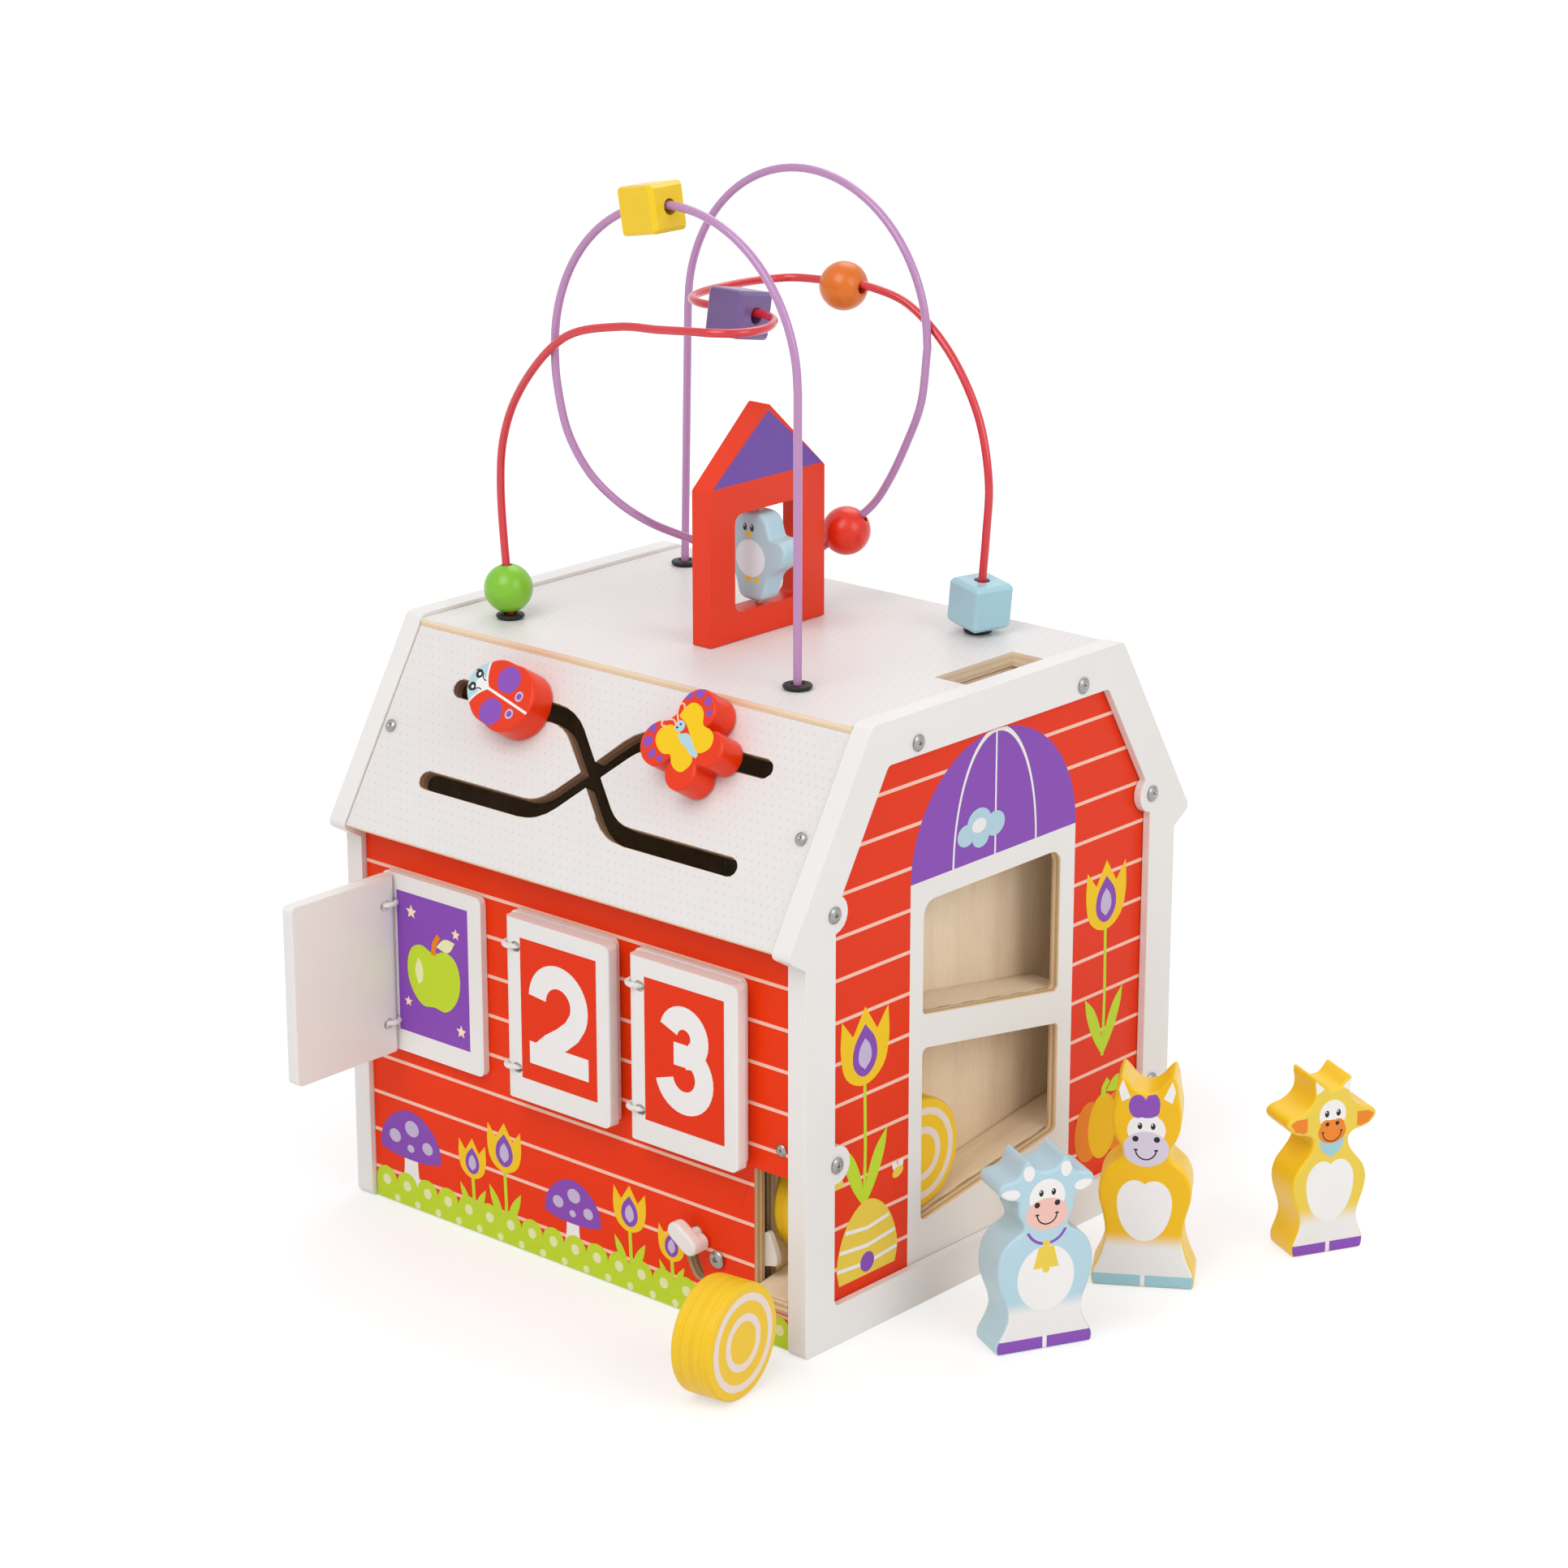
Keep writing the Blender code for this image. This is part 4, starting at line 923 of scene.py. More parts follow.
def printed(sheet, base, marks, face):
    """Lays marks of (mask, colour name) over a base colour, on the faces along an axis."""
    front = 1 - sheet.turned_from(face)
    for mask, colour in marks:
        base = sheet.mix(mask & front, base, colours[colour])
    cloud = sheet.noise(30 * mm, 3)
    peel = sheet.noise(0.8 * mm, 1)
    paint = sheet.shade(base, 0.965 + cloud * 0.07)
    return sheet.coat(paint, 0.3 + cloud * 0.1, peel, 0.01 * mm, 0.15)


# %% Slider blocks
def slider_place(node):
    """Placement of a slider's printed face, x along the barn and y up the slope."""
    low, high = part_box(node)
    return plane((low + high) / 2, X, -slope_down)


slider_edge = 1.2 * mm
slider_growth = 1.0 * mm


def slider_piece(node, material, place):
    """Rebuilds a slider's block with round edges; returns the placement of its top face."""
    loop = face_loops(node, slope_normal)[0]
    outline = inset(counterclockwise(flowing(flattened(loop, place), 3)), -slider_growth)
    back = place.inverted()
    heights = [(back @ vert.co).z for vert in nodes[node].data.vertices]
    thickness = max(heights) - min(heights)
    centred = place @ Matrix.Translation((0, 0, (max(heights) + min(heights)) / 2))
    stand_for(slab(node + "_block", outline, thickness, slider_edge, centred, material), node)
    return place @ Matrix.Translation((0, 0, max(heights)))


# %% Ladybird


def ladybird_finish(place):
    """Two red wing cases with spots, and a head ahead of their curved front edges."""
    sheet = Finish("ladybird_print")
    u, v = flat_signals(sheet, place)
    u, v = turned_signals(u, v, -14)
    wings = [away(u, v, 1.7, side * 11.7) - 14.4 for side in (-1, 1)]
    ahead = wings[0] & wings[1]
    front = u < 1.7
    cheek = oval(u, v, -9.8, 0, 4.6, 3.0)
    line = (abs(v) < 0.55) & (u > -7)
    marks = [((ahead > 0) & front, "light_blue"), (cheek & (ahead > 0) & front, "print_white")]
    for side in (-1, 1):
        marks.append((oval(u, v, 1.0, side * 7.4, 6.2, 5.6), "purple"))
        marks.append((oval(u, v, 10.4, side * 4, 2.1, 2.1), "lilac"))
        marks.append((oval(u, v, 10.4, side * 4, 1.3, 1.3), "purple"))
        marks.append((oval(u, v, -14.9, side * 2.95, 1.9, 1.9), "black"))
        marks.append((oval(u, v, -14.7, side * 2.95, 0.75, 0.75), "print_white"))
        curl = abs(away(u, v, -10.6, side * 4.6) - 2.6) < 0.25
        marks.append((curl & (abs(v) < 4.2) & (ahead > 0), "black"))
    marks.append(((abs(ahead) < 0.5) & front | line, "print_white"))
    marks.append((smile(v, u, 0, -16.3, 3.9, 0.28), "black"))
    return printed(sheet, colours["red"], marks, slope_normal)


# %% Butterfly
butterfly_dots = (
    (-4.9, 16.9, 2.0), (0.1, 18.9, 2.4), (5.4, 16.2, 1.9), (7.9, 12.0, 1.5),
    (-16.6, 0.7, 1.9), (-16.6, -4.8, 2.3), (-12.6, -9.0, 1.9), (-7.9, -10.1, 1.5),
)


def butterfly_finish(place):
    """Red wings with dots along their upper edges."""
    sheet = Finish("butterfly_print")
    u, v = flat_signals(sheet, place)
    marks = [(oval(u, v, *spot, radius, radius), "purple") for *spot, radius in butterfly_dots]
    return printed(sheet, colours["red"], marks, slope_normal)


slider_faces = {}
for node, finish in (("ladybird", ladybird_finish), ("butterfly", butterfly_finish)):
    place = slider_place(node)
    slider_faces[node] = slider_piece(node, finish(place), place)

dowel = bare_ply("dowel", Z, (1, 1, 0.1))
for node in ("ladybird_stem", "butterfly_stem"):
    soften(node, 0.2 * mm, dowel, 1)

# %% [markdown]
# ## Animals
# Each animal is a 20 mm block sawn to its outline, with rounded edges, sprayed in one
# colour and printed on its broad faces. On the horse and the goat the sides get a lighter
# yellow: painted light for sides that the lamps leave in shade. The faces are a plain, cheerful
# design.

# %% Parts of an animal's print
animal_turns = {"cow": -27.1, "horse": -57, "goat": -27.3}


def animal_sheet(node):
    """Sheet, signals and placement for an animal's printed face."""
    low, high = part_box(node)
    middle = (low + high) / 2
    turn = math.radians(animal_turns[node])
    face = Vector((math.cos(turn), math.sin(turn), 0))
    across = Vector((-math.sin(turn), math.cos(turn), 0))
    place = plane((middle.x, middle.y, 0), across, Z)
    sheet = Finish(node + "_print")
    return sheet, *flat_signals(sheet, place), place, face


def eyes(u, v, apart, height, half_u, half_v):
    marks = []
    for side in (-1, 1):
        marks.append((oval(u, v, side * apart, height, half_u, half_v), "black"))
        spot = side * apart - 0.3 * half_u, height + 0.45 * half_v
        marks.append((oval(u, v, *spot, 0.32 * half_u, 0.26 * half_v), "print_white"))
    return marks


def nostrils(u, v, apart, height, radius):
    return [(oval(u, v, side * apart, height, radius, radius), "black") for side in (-1, 1)]


def feet(u, v, top, colour):
    """Band round the feet, parted by a white strip."""
    band = v.between(0.4, top) & (abs(u) > 0.9)
    return [((abs(u) < 0.9) & (v < top), "print_white"), (band, colour)]


def heart(u, v, half, top, bottom):
    """Belly patch: two lobes over a rounded point."""
    wide = bottom + (top - bottom) * 0.64
    lobes = [oval(u, v, side * half * 0.36, wide, half * 0.64, top - wide) for side in (-1, 1)]
    return lobes[0] | lobes[1] | (oval(u, v, 0, wide, half, wide - bottom) & (v < wide))


# %% Cow


def cow_marks(u, v):
    marks = [(oval(u, v, 0, 30.6, 12.2, 13.7), "print_white"), *feet(u, v, 5.7, "purple")]
    collar = (abs(away(u, v, 0, 53.8) - 8.6) < 0.6) & (v < 50.6)
    marks.append((collar, "purple"))
    bell = convex(u, v, [(-5.5, 34.8), (5.5, 34.8), (3.2, 43.9), (-3.2, 43.9)])
    ring = oval(u, v, 0, 45, 1.6, 1.6)
    marks.append((bell | ring | oval(u, v, 0, 34.2, 1.5, 1.5), "sun"))
    marks.append((oval(u, v, 0, 64.5, 7.6, 7.8), "print_white"))
    marks.append((oval(u, v, 0, 57.6, 9.05, 6.7), "pink"))
    marks += nostrils(u, v, 4.3, 61.8, 1.2)
    marks.append((smile(u, v, 0, 57.6, 4.2), "black"))
    marks += eyes(u, v, 2.65, 66.6, 0.95, 1.4)
    for side in (-1, 1):
        marks.append((oval(u, v, side * 15.8, 67.6, 4.2, 2.3), "print_white"))
        marks.append((oval(u, v, side * 7.9, 75.5, 2.3, 3.2), "print_white"))
    return marks


# %% Horse


def horse_marks(u, v):
    marks = [(heart(u, v, 11.1, 47, 20.6), "print_white"), *feet(u, v, 5.6, "blue_band")]
    marks.append((oval(u, v, 0, 69, 7.7, 7), "print_white"))
    marks.append((oval(u, v, 0, 60.7, 9.3, 7.6), "pale_lilac"))
    marks += nostrils(u, v, 4.3, 65, 1.25)
    marks.append((smile(u, v, 0, 60.3, 4.1), "black"))
    marks += eyes(u, v, 2.65, 70.6, 0.95, 1.4)
    lock = oval(u, v, -3.6, 79, 3.7, 5.0) | oval(u, v, 2.3, 80.2, 3.0, 4.5)
    marks.append((lock | oval(u, v, 0, 77.6, 5.2, 3.5), "purple"))
    ear = [(6.6, 82.6), (10.1, 80.7), (11.4, 86), (9.9, 90.3)]
    for corners in (ear, mirrored(ear)):
        marks.append((convex(u, v, corners), "print_white"))
    return marks


# %% Goat


def goat_marks(u, v):
    marks = [(heart(u, v, 10.9, 41.4, 14.4), "print_white"), *feet(u, v, 5.2, "purple")]
    half_beard = [(0, 42.5), (4.6, 46.2), (5.9, 50), (5.2, 53)]
    marks.append((convex(u, v, half_beard + mirrored(half_beard[1:])), "blue_band"))
    marks.append((oval(u, v, 0, 61.5, 6.1, 6.6), "print_white"))
    lobes = oval(u, v, -2.7, 57, 2.8, 2.6) | oval(u, v, 2.7, 57, 2.8, 2.6)
    marks.append((oval(u, v, 0, 54.2, 6.4, 5.2) | lobes, "orange"))
    marks += nostrils(u, v, 2.3, 57.6, 0.9)
    marks.append((smile(u, v, 0, 54.2, 4.3, 0.25), "black"))
    marks += eyes(u, v, 2.65, 62.2, 1.0, 1.5)
    ear = [(11.4, 55.4), (13, 54.9), (16.8, 56), (19.2, 59.6), (16.5, 61.3), (11.4, 61.4)]
    horn = [(4.2, 73.2), (8, 70.9), (9.1, 74), (8.2, 77)]
    for corners, colour in ((ear, "orange"), (horn, "print_white")):
        marks.append((convex(u, v, corners) | convex(u, v, mirrored(corners)), colour))
    return marks


# %% Animal blocks
animal_thickness = 20 * mm
animal_edge = 1.5 * mm
# Marks, face colour, side colour and the fade's start and stop for each animal. The horse's and
# goat's side yellow is painted light: it is lighter than their paint, to lift sides in shade.
animal_designs = {
    "cow": (cow_marks, "light_blue", "light_blue", 15.9, 22.6),
    "horse": (horse_marks, "sun_deep", "sun_lit_side", 16.7, 24.4),
    "goat": (goat_marks, "sun", "sun_lit_side", 12.6, 22),
}
for node, (design, face_colour, side_colour, start, stop) in animal_designs.items():
    sheet, u, v, place, face = animal_sheet(node)
    front = 1 - sheet.turned_from(face)
    faded = sheet.mix(v.ease(start, stop), colours["white"], colours[face_colour])
    base = sheet.mix(front, colours[side_colour], faded)
    material = printed(sheet, base, design(u, v), face)
    outline = flowing(flattened(face_loops(node, face)[0], place), 4, 65)
    piece = slab(node + "_block", outline, animal_thickness, animal_edge, place, material)
    stand_for(piece, node)

# %% [markdown]
# ## Bird and its house
# The bird turns on a dowel in the window of a red house. The house has a purple triangle
# printed under its gable on both faces. The triangle is a mask between the eaves and the
# slanted roof, so it follows the house's edge without a picture.

# %% Bird
bird_growth = 1.1 * mm
bird_thickness = 11 * mm
bird_edge = 1.6 * mm
low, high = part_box("bird")
bird_place = plane(((low.x + high.x) / 2, (low.y + high.y) / 2, low.z), X, Z)
sheet = Finish("bird_print")
u, v = flat_signals(sheet, bird_place)
bird_marks = [(oval(u, v, 0, 17.5, 7.9, 7.8), "belly_white")]
bird_marks += eyes(u + 1, v, 1.9, 30.3, 1.05, 1.6)
for side in (-1, 1):
    bird_marks.append((oval(u, v, 1 + side * 2.3, 8.8, 1.8, 1.05), "yellow"))
bird_marks.append((convex(u, v, [(-1, 24.6), (0.8, 28.8), (-2.8, 28.8)]), "yellow"))
bird_material = printed(sheet, colours["light_blue"], bird_marks, Y)
outline = flowing(flattened(face_loops("bird", -Y)[0], bird_place), 4, 65)
outline = inset(counterclockwise(outline), -bird_growth)
bird_block = slab("bird_block", outline, bird_thickness, bird_edge, bird_place, bird_material)
stand_for(bird_block, "bird")
soften("bird_axle", 0.2 * mm, dowel, 1)

# %% Birdhouse
house_low, house_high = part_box("birdhouse")
sheet = Finish("birdhouse_print")
eaves = 314 * mm
roof_edge = 2.5 * mm
side_edge = 1.2 * mm
middle_y = (house_low.y + house_high.y) / 2
half_print = (house_high.y - house_low.y) / 2 - side_edge
slant = (house_high.z - roof_edge - eaves) / half_print
under = (house_high.z - roof_edge - sheet.z) / slant
triangle = (sheet.z > eaves) & (abs(sheet.y - middle_y) < under)
house_paint = printed(sheet, colours["red"], [(triangle, "purple_deep")], X)
soften("birdhouse", 1.0 * mm, house_paint, 3)

# %% [markdown]
# ## Bead wires
# A steel wire with a coloured plastic coat, bent on a jig. The route repeats the packed
# wire's points and runs a smooth curve through them. Geometry Nodes sweep a round section
# along it.

# %% Wire tools
roof_z = 248.3 * mm
wire_gauge = 1.75 * mm
wire_reach = 100 * mm
wire_row = 55.5 * mm
wire_rise = 136.2 * mm


def on_roof(across, row, rise):
    """Place over the roof from shares of the wires' reach, row and rise."""
    return Vector((across * wire_reach, row * wire_row, roof_z + rise * wire_rise))


def curve_through(points, steps):
    """Smooth curve through the points, as steps points for each stretch."""
    ends = [2 * points[0] - points[1], *points, 2 * points[-1] - points[-2]]
    out = []
    for a, b, c, d in zip(ends, ends[1:], ends[2:], ends[3:]):
        for i in range(steps):
            t = i / steps
            out.append(0.5 * (2 * b + (c - a) * t + (2 * a - 5 * b + 4 * c - d) * t ** 2
                              + (3 * b - a - 3 * c + d) * t ** 3))
    return out + [points[-1]]


# %% Red wire route
wire_foot = Z * 4.8 * mm
red_points = [on_roof(*shares) for shares in (
    (-0.900, -1.000, 0.018), (-0.946, -0.991, 0.402), (-0.885, -1.020, 0.612),
    (-0.715, -1.063, 0.788), (-0.505, -1.063, 0.917), (-0.250, -1.020, 0.965),
    (-0.050, -0.991, 0.974), (0.120, -0.987, 0.985), (0.230, -0.955, 0.989),
    (0.300, -0.838, 0.989), (0.322, -0.667, 0.989), (0.295, -0.486, 0.989),
    (0.220, -0.306, 0.989), (0.120, -0.222, 0.989), (-0.010, -0.216, 0.989),
    (-0.140, -0.216, 0.989), (-0.250, -0.189, 0.989), (-0.340, -0.054, 0.989),
    (-0.385, 0.216, 0.989), (-0.390, 0.541, 0.989), (-0.365, 0.793, 0.989),
    (-0.290, 0.946, 0.993), (-0.160, 0.991, 0.996), (-0.030, 0.991, 0.998),
    (0.090, 1.005, 0.998), (0.294, 1.043, 0.958), (0.504, 1.043, 0.840),
    (0.665, 1.030, 0.667), (0.745, 0.991, 0.482), (0.737, 0.991, 0.306),
    (0.697, 1.000, 0.018),
)]
red_feet = [Vector((*end[:2], roof_z)) - wire_foot for end in (red_points[0], red_points[-1])]
red_route = [red_feet[0], *curve_through(red_points, 8), red_feet[1]]
print("red wire drawn through", len(red_route), "points")

# %% Purple wire route
crossing = [on_roof(*shares) for shares in (
    (-0.620, -0.973, 0.761), (-0.605, -0.901, 0.610), (-0.557, -0.775, 0.482),
    (-0.485, -0.613, 0.387), (-0.404, -0.432, 0.319), (-0.340, -0.198, 0.266),
    (-0.260, 0.108, 0.207), (-0.165, 0.450, 0.165), (-0.063, 0.761, 0.181),
    (0.035, 0.873, 0.252), (0.140, 0.965, 0.328), (0.226, 0.973, 0.414),
    (0.316, 0.973, 0.535), (0.396, 0.973, 0.675),
)]


def half_turn(x, z, radius, y):
    return [Vector((a, y, roof_z + b)) for a, b in round_bend((x, z), radius, 0, 180, 18)]


front_loop = half_turn(3.5 * mm, 117.7 * mm, 65 * mm, -wire_row)
rear_loop = half_turn(-23.4 * mm, 115 * mm, 66 * mm, 54.0 * mm)
purple_foot = Vector((68.5 * mm, -wire_row, roof_z)) - wire_foot
rear_foot = Vector((-95 * mm, 57 * mm, roof_z)) - wire_foot
collar = rear_foot + wire_foot + Z * 2.3 * mm
between = [front_loop[-1], *crossing, rear_loop[0]]
purple_route = [purple_foot, *curve_through(front_loop, 3)[:-1], *curve_through(between, 8)[:-1]]
purple_route += [*curve_through(rear_loop, 3), collar, rear_foot]
print("purple wire drawn through", len(purple_route), "points")

# %% [markdown]
# ## Geometry Nodes from a script
# A node group can be drawn in the editor, but then a reader couldn't see how it is made.
# Here small helpers make a group with its named inputs, add a node and feed it, and end a
# group alike each time. The last one runs the group on a piece and keeps the mesh, because
# instances and live modifiers are lost when the toy is exported.

# %% Geometry Nodes tools


def group_of(name, sockets):
    """Geometry Nodes group with named inputs; returns the group, its input and its output."""
    tree = bpy.data.node_groups.new(name, "GeometryNodeTree")
    tree.interface.new_socket("Geometry", in_out="INPUT", socket_type="NodeSocketGeometry")
    for label, kind in sockets:
        tree.interface.new_socket(label, in_out="INPUT", socket_type=kind)
    tree.interface.new_socket("Geometry", in_out="OUTPUT", socket_type="NodeSocketGeometry")
    return tree, tree.nodes.new("NodeGroupInput"), tree.nodes.new("NodeGroupOutput")


def step(tree, kind, links, settings=()):
    """A geometry node with its settings, fed from other nodes' sockets or plain values."""
    node = tree.nodes.new(kind)
    for key, value in dict(settings).items():
        setattr(node, key, value)
    for key, value in links.items():
        if isinstance(value, bpy.types.NodeSocket):
            tree.links.new(value, node.inputs[key])
        else:
            node.inputs[key].default_value = value
    return node


def dress_and_end(tree, start, shape, stop):
    """Last nodes of a group: real geometry with the group's material."""
    real = step(tree, "GeometryNodeRealizeInstances", {"Geometry": shape.outputs[0]})
    links = {"Geometry": real.outputs[0], "Material": start.outputs["Material"]}
    dressed = step(tree, "GeometryNodeSetMaterial", links)
    tree.links.new(dressed.outputs[0], stop.inputs[0])


def grow(piece, tree, values):
    """Runs a Geometry Nodes group on a piece and keeps the mesh it makes."""
    modifier = piece.modifiers.new("growth", "NODES")
    modifier.node_group = tree
    for item in tree.interface.items_tree:
        if item.in_out == "INPUT" and item.name in values:
            modifier[item.identifier] = values[item.name]
    return keep_result(piece)


# %% Tube along a path
def tube_group():
    """Sweeps a round section along the edges of a mesh."""
    sockets = (("Radius", "NodeSocketFloat"), ("Sides", "NodeSocketInt"),
               ("Material", "NodeSocketMaterial"))
    tree, start, stop = group_of("tube_along_a_path", sockets)
    given = start.outputs
    path = step(tree, "GeometryNodeMeshToCurve", {"Mesh": given["Geometry"]})
    links = {"Resolution": given["Sides"], "Radius": given["Radius"]}
    section = step(tree, "GeometryNodeCurvePrimitiveCircle", links)
    links = {"Curve": path.outputs[0], "Profile Curve": section.outputs[0], "Fill Caps": True}
    dress_and_end(tree, start, step(tree, "GeometryNodeCurveToMesh", links), stop)
    return tree


tube_tree = tube_group()
tube_sides = 20


def tube(name, route, radius, material):
    """Round bar along a route of points."""
    bm = bmesh.new()
    verts = [bm.verts.new(point) for point in route]
    for a, b in zip(verts, verts[1:]):
        bm.edges.new((a, b))
    piece = new_piece(name, bm, [])
    grow(piece, tube_tree, {"Radius": radius, "Sides": tube_sides, "Material": material})
    return smooth(piece, 50)


# %% Wires


def coated(name, colour):
    """Plastic coat on wire: smooth and glossy, with a slow change of shade."""
    sheet = Finish(name)
    cloud = sheet.noise(40 * mm, 2)
    shade = sheet.shade(colour, 0.96 + cloud * 0.08)
    return sheet.coat(shade, 0.16 + cloud * 0.05, gloss=0.5, mirror=0.5)


for node, route in (("wire_purple", purple_route), ("wire_red", red_route)):
    stand_for(tube(node + "_tube", route, wire_gauge, coated(node + "_coat", colours[node])), node)

# %% [markdown]
# ## Grommets
# A black rubber grommet lines each hole where a wire enters the roof. It is round, so its
# section is turned: a neck in the hole, a flange on the roof and a lip against the wire. A
# Torus would give only the flange.

# %% Grommets
grommet_bore = 2.0 * mm
grommet_neck = 4.2 * mm
grommet_flange = 5.3 * mm
flange_seat = roof_z + 0.3 * mm
sheet = Finish("grommet_rubber")
speck = sheet.noise(0.6 * mm, 2)
rubber_shade = sheet.shade(tone(38, 34, 34), 0.85 + speck * 0.3)
grommet_rubber = sheet.coat(rubber_shade, 0.35 + speck * 0.15, speck, 0.02 * mm)
for node in [name for name in nodes if name.startswith("grommet")]:
    low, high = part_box(node)
    top = high.z
    place = Matrix.Translation(((low.x + high.x) / 2, (low.y + high.y) / 2, 0))
    profile = [(grommet_bore, low.z), (grommet_neck, low.z)]
    profile += [(grommet_neck, flange_seat), (grommet_flange, flange_seat)]
    profile += round_bend((5.2 * mm, top - 1.0 * mm), 0.8 * mm, -70, 80, 8)
    profile += round_bend((3.2 * mm, top - 0.5 * mm), 0.5 * mm, 80, 180, 5)
    profile.append((grommet_bore, top - 1.2 * mm))
    bm = bmesh.new()
    turned(bm, profile, place, 40, closed=True)
    stand_for(smooth(new_piece(node + "_flange", bm, [grommet_rubber])), node)

# %% [markdown]
# ## Beads
# Turned wooden balls and sawn cubes, dipped in glossy paint. Each has a hole wider than
# the wire, so a thin dark gap shows round it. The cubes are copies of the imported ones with
# eased edges, which keeps their holes as they were checked.

# %% Beads
cube_colours = {
    "yellow_cube": tone(240, 199, 16),
    "purple_cube": tone(116, 90, 146),
    "light_blue_cube": tone(166, 208, 220),
}
ball_colours = {
    "orange_ball": tone(222, 112, 16),
    "red_ball": tone(230, 44, 10),
    "green_ball": tone(128, 194, 40),
}


def dipped(name, colour):
    """Glossy paint from a dip, which pools a little."""
    sheet = Finish(name)
    cloud = sheet.noise(12 * mm, 2)
    peel = sheet.noise(1.4 * mm, 1)
    shade = sheet.shade(colour, 0.96 + cloud * 0.08)
    return sheet.coat(shade, 0.24 + cloud * 0.1, peel, 0.012 * mm, 0.3, 0.35)


for node, colour in cube_colours.items():
    soften(node, 0.8 * mm, dipped(node + "_paint", colour), 3)

# %% [markdown]
# ## Balls
# A ball bead is a sphere with a drilled hole whose mouth is eased. Its section is turned
# about the wire, which a sphere with a Boolean hole would only give in rough facets.

# %% Balls
ball_runs = {
    "orange_ball": red_points[24] - red_points[22],
    "red_ball": crossing[10] - crossing[8],
    "green_ball": red_points[1] - red_points[0],
}
ball_radius = 10.25 * mm
ball_bore = 2.4 * mm
mouth = 2.9 * mm
mouth_depth = ball_radius * 0.93
for node, run in ball_runs.items():
    low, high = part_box(node)
    place = run.to_track_quat("Z", "Y").to_matrix().to_4x4()
    place.translation = (low + high) / 2
    tip = math.degrees(math.asin(mouth / ball_radius))
    profile = [(ball_bore, -mouth_depth)]
    profile += round_bend((0, 0), ball_radius, tip - 90, 90 - tip, 40)
    profile.append((ball_bore, mouth_depth))
    bm = bmesh.new()
    turned(bm, profile, place, 64, closed=True)
    paint = dipped(node + "_paint", ball_colours[node])
    stand_for(smooth(new_piece(node + "_turned", bm, [paint]), 50), node)

# %% [markdown]
# ## Wheels
# Each wheel is turned from wood and painted, so fine turning lines show on its tread. Its
# faces carry white rings. The section has a corner at each ring's edge and a paint for each
# stretch, so the rings are sharp without a mask or a picture.

# %% Wheel paint


def wheel_paint(name, place):
    """Yellow paint over wood, with faint turning lines round the tread."""
    sheet = Finish(name)
    axis = place.to_3x3() @ Z
    depth = sheet.along(sheet.spot, axis) - place.translation.dot(axis)
    values = {"W": depth, "Scale": 900, "Detail": 3}
    lines = sheet.node("ShaderNodeTexNoise", {"noise_dimensions": "1D"}, values)
    fine = lines.ease(0.5, 0.66) * sheet.turned_from(axis)
    base = sheet.mix(fine * 0.45, colours["yellow"], colours["yellow_deep"])
    cloud = sheet.noise(16 * mm, 2)
    shade = sheet.shade(base, 0.96 + cloud * 0.08)
    return sheet.coat(shade, 0.34 + cloud * 0.1, fine, -0.04 * mm, 0.15)


# %% Wheel section
wheel_half = 9 * mm
wheel_radius = 23.5 * mm
wheel_ease = 1.8 * mm
ring_spans = ((8.5 * mm, 11.6 * mm), (16.6 * mm, 19.6 * mm))
ring_paint = painted("ring_paint", tone(238, 222, 214), 0.36)
wheel_yaws = {"ramp_wheel_front": 0, "ramp_wheel_rear": 0, "floor_wheel": 7.2}


def wheel_profile():
    """Section from one face's middle to the other's, with the paint of each stretch."""
    radii = [0, *(radius for span in ring_spans for radius in span)]
    face = [1 if (a, b) in ring_spans else 0 for a, b in zip(radii, radii[1:])]
    profile = [(radius, -wheel_half) for radius in radii]
    corner = wheel_radius - wheel_ease
    profile += round_bend((corner, wheel_ease - wheel_half), wheel_ease, -90, 0, 5)
    profile += round_bend((corner, wheel_half - wheel_ease), wheel_ease, 0, 90, 5)
    rest = len(profile) - len(radii)
    profile += [(radius, wheel_half) for radius in reversed(radii)]
    return profile, face + [0] * (rest + 1) + face[::-1]


# %% Wheels turned
for node, yaw in wheel_yaws.items():
    low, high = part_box(node)
    turn = math.radians(yaw)
    axis = Vector((math.cos(turn), math.sin(turn), 0))
    place = axis.to_track_quat("Z", "Y").to_matrix().to_4x4()
    place.translation = (low + high) / 2
    profile, paint = wheel_profile()
    bm = bmesh.new()
    turned(bm, profile, place, 96, paint=paint)
    piece = new_piece(node + "_turned", bm, [wheel_paint(node + "_paint", place), ring_paint])
    stand_for(smooth(piece, 30), node)

# %% [markdown]
# ## Doors and plates
# The doors are white blocks with rounded corners, hung on loops of white cord that pass
# through the door and are knotted behind the wall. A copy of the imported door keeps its
# exact place, and its cord holes are filled, because the photograph shows a closed edge.

# %% Doors
hinge_y = -121.8 * mm
hinge_reach = 6.2 * mm
hinge_half = 2.7 * mm
loop_heights = {"lower": 86.5 * mm, "upper": 138.5 * mm}
hinge_lines = {1: -99.45 * mm, 2: -24.65 * mm, 3: 43.55 * mm}


def close_cord_holes(bm, hinge_x):
    """Fills a door's cord holes, as the cord does on the real door."""
    def at_hole(vert, height):
        off_axis = math.hypot(vert.co.x - hinge_x, vert.co.y - hinge_y)
        return off_axis < hinge_reach and abs(vert.co.z - height) < hinge_half

    walls = []
    for height in loop_heights.values():
        walls += [face for face in bm.faces if all(at_hole(vert, height) for vert in face.verts)]
    bmesh.ops.delete(bm, geom=walls, context="FACES")
    rims = [edge for edge in bm.edges if edge.is_boundary]
    bmesh.ops.holes_fill(bm, edges=rims, sides=0)
    bmesh.ops.dissolve_limit(bm, angle_limit=flat_enough, verts=bm.verts, edges=bm.edges)


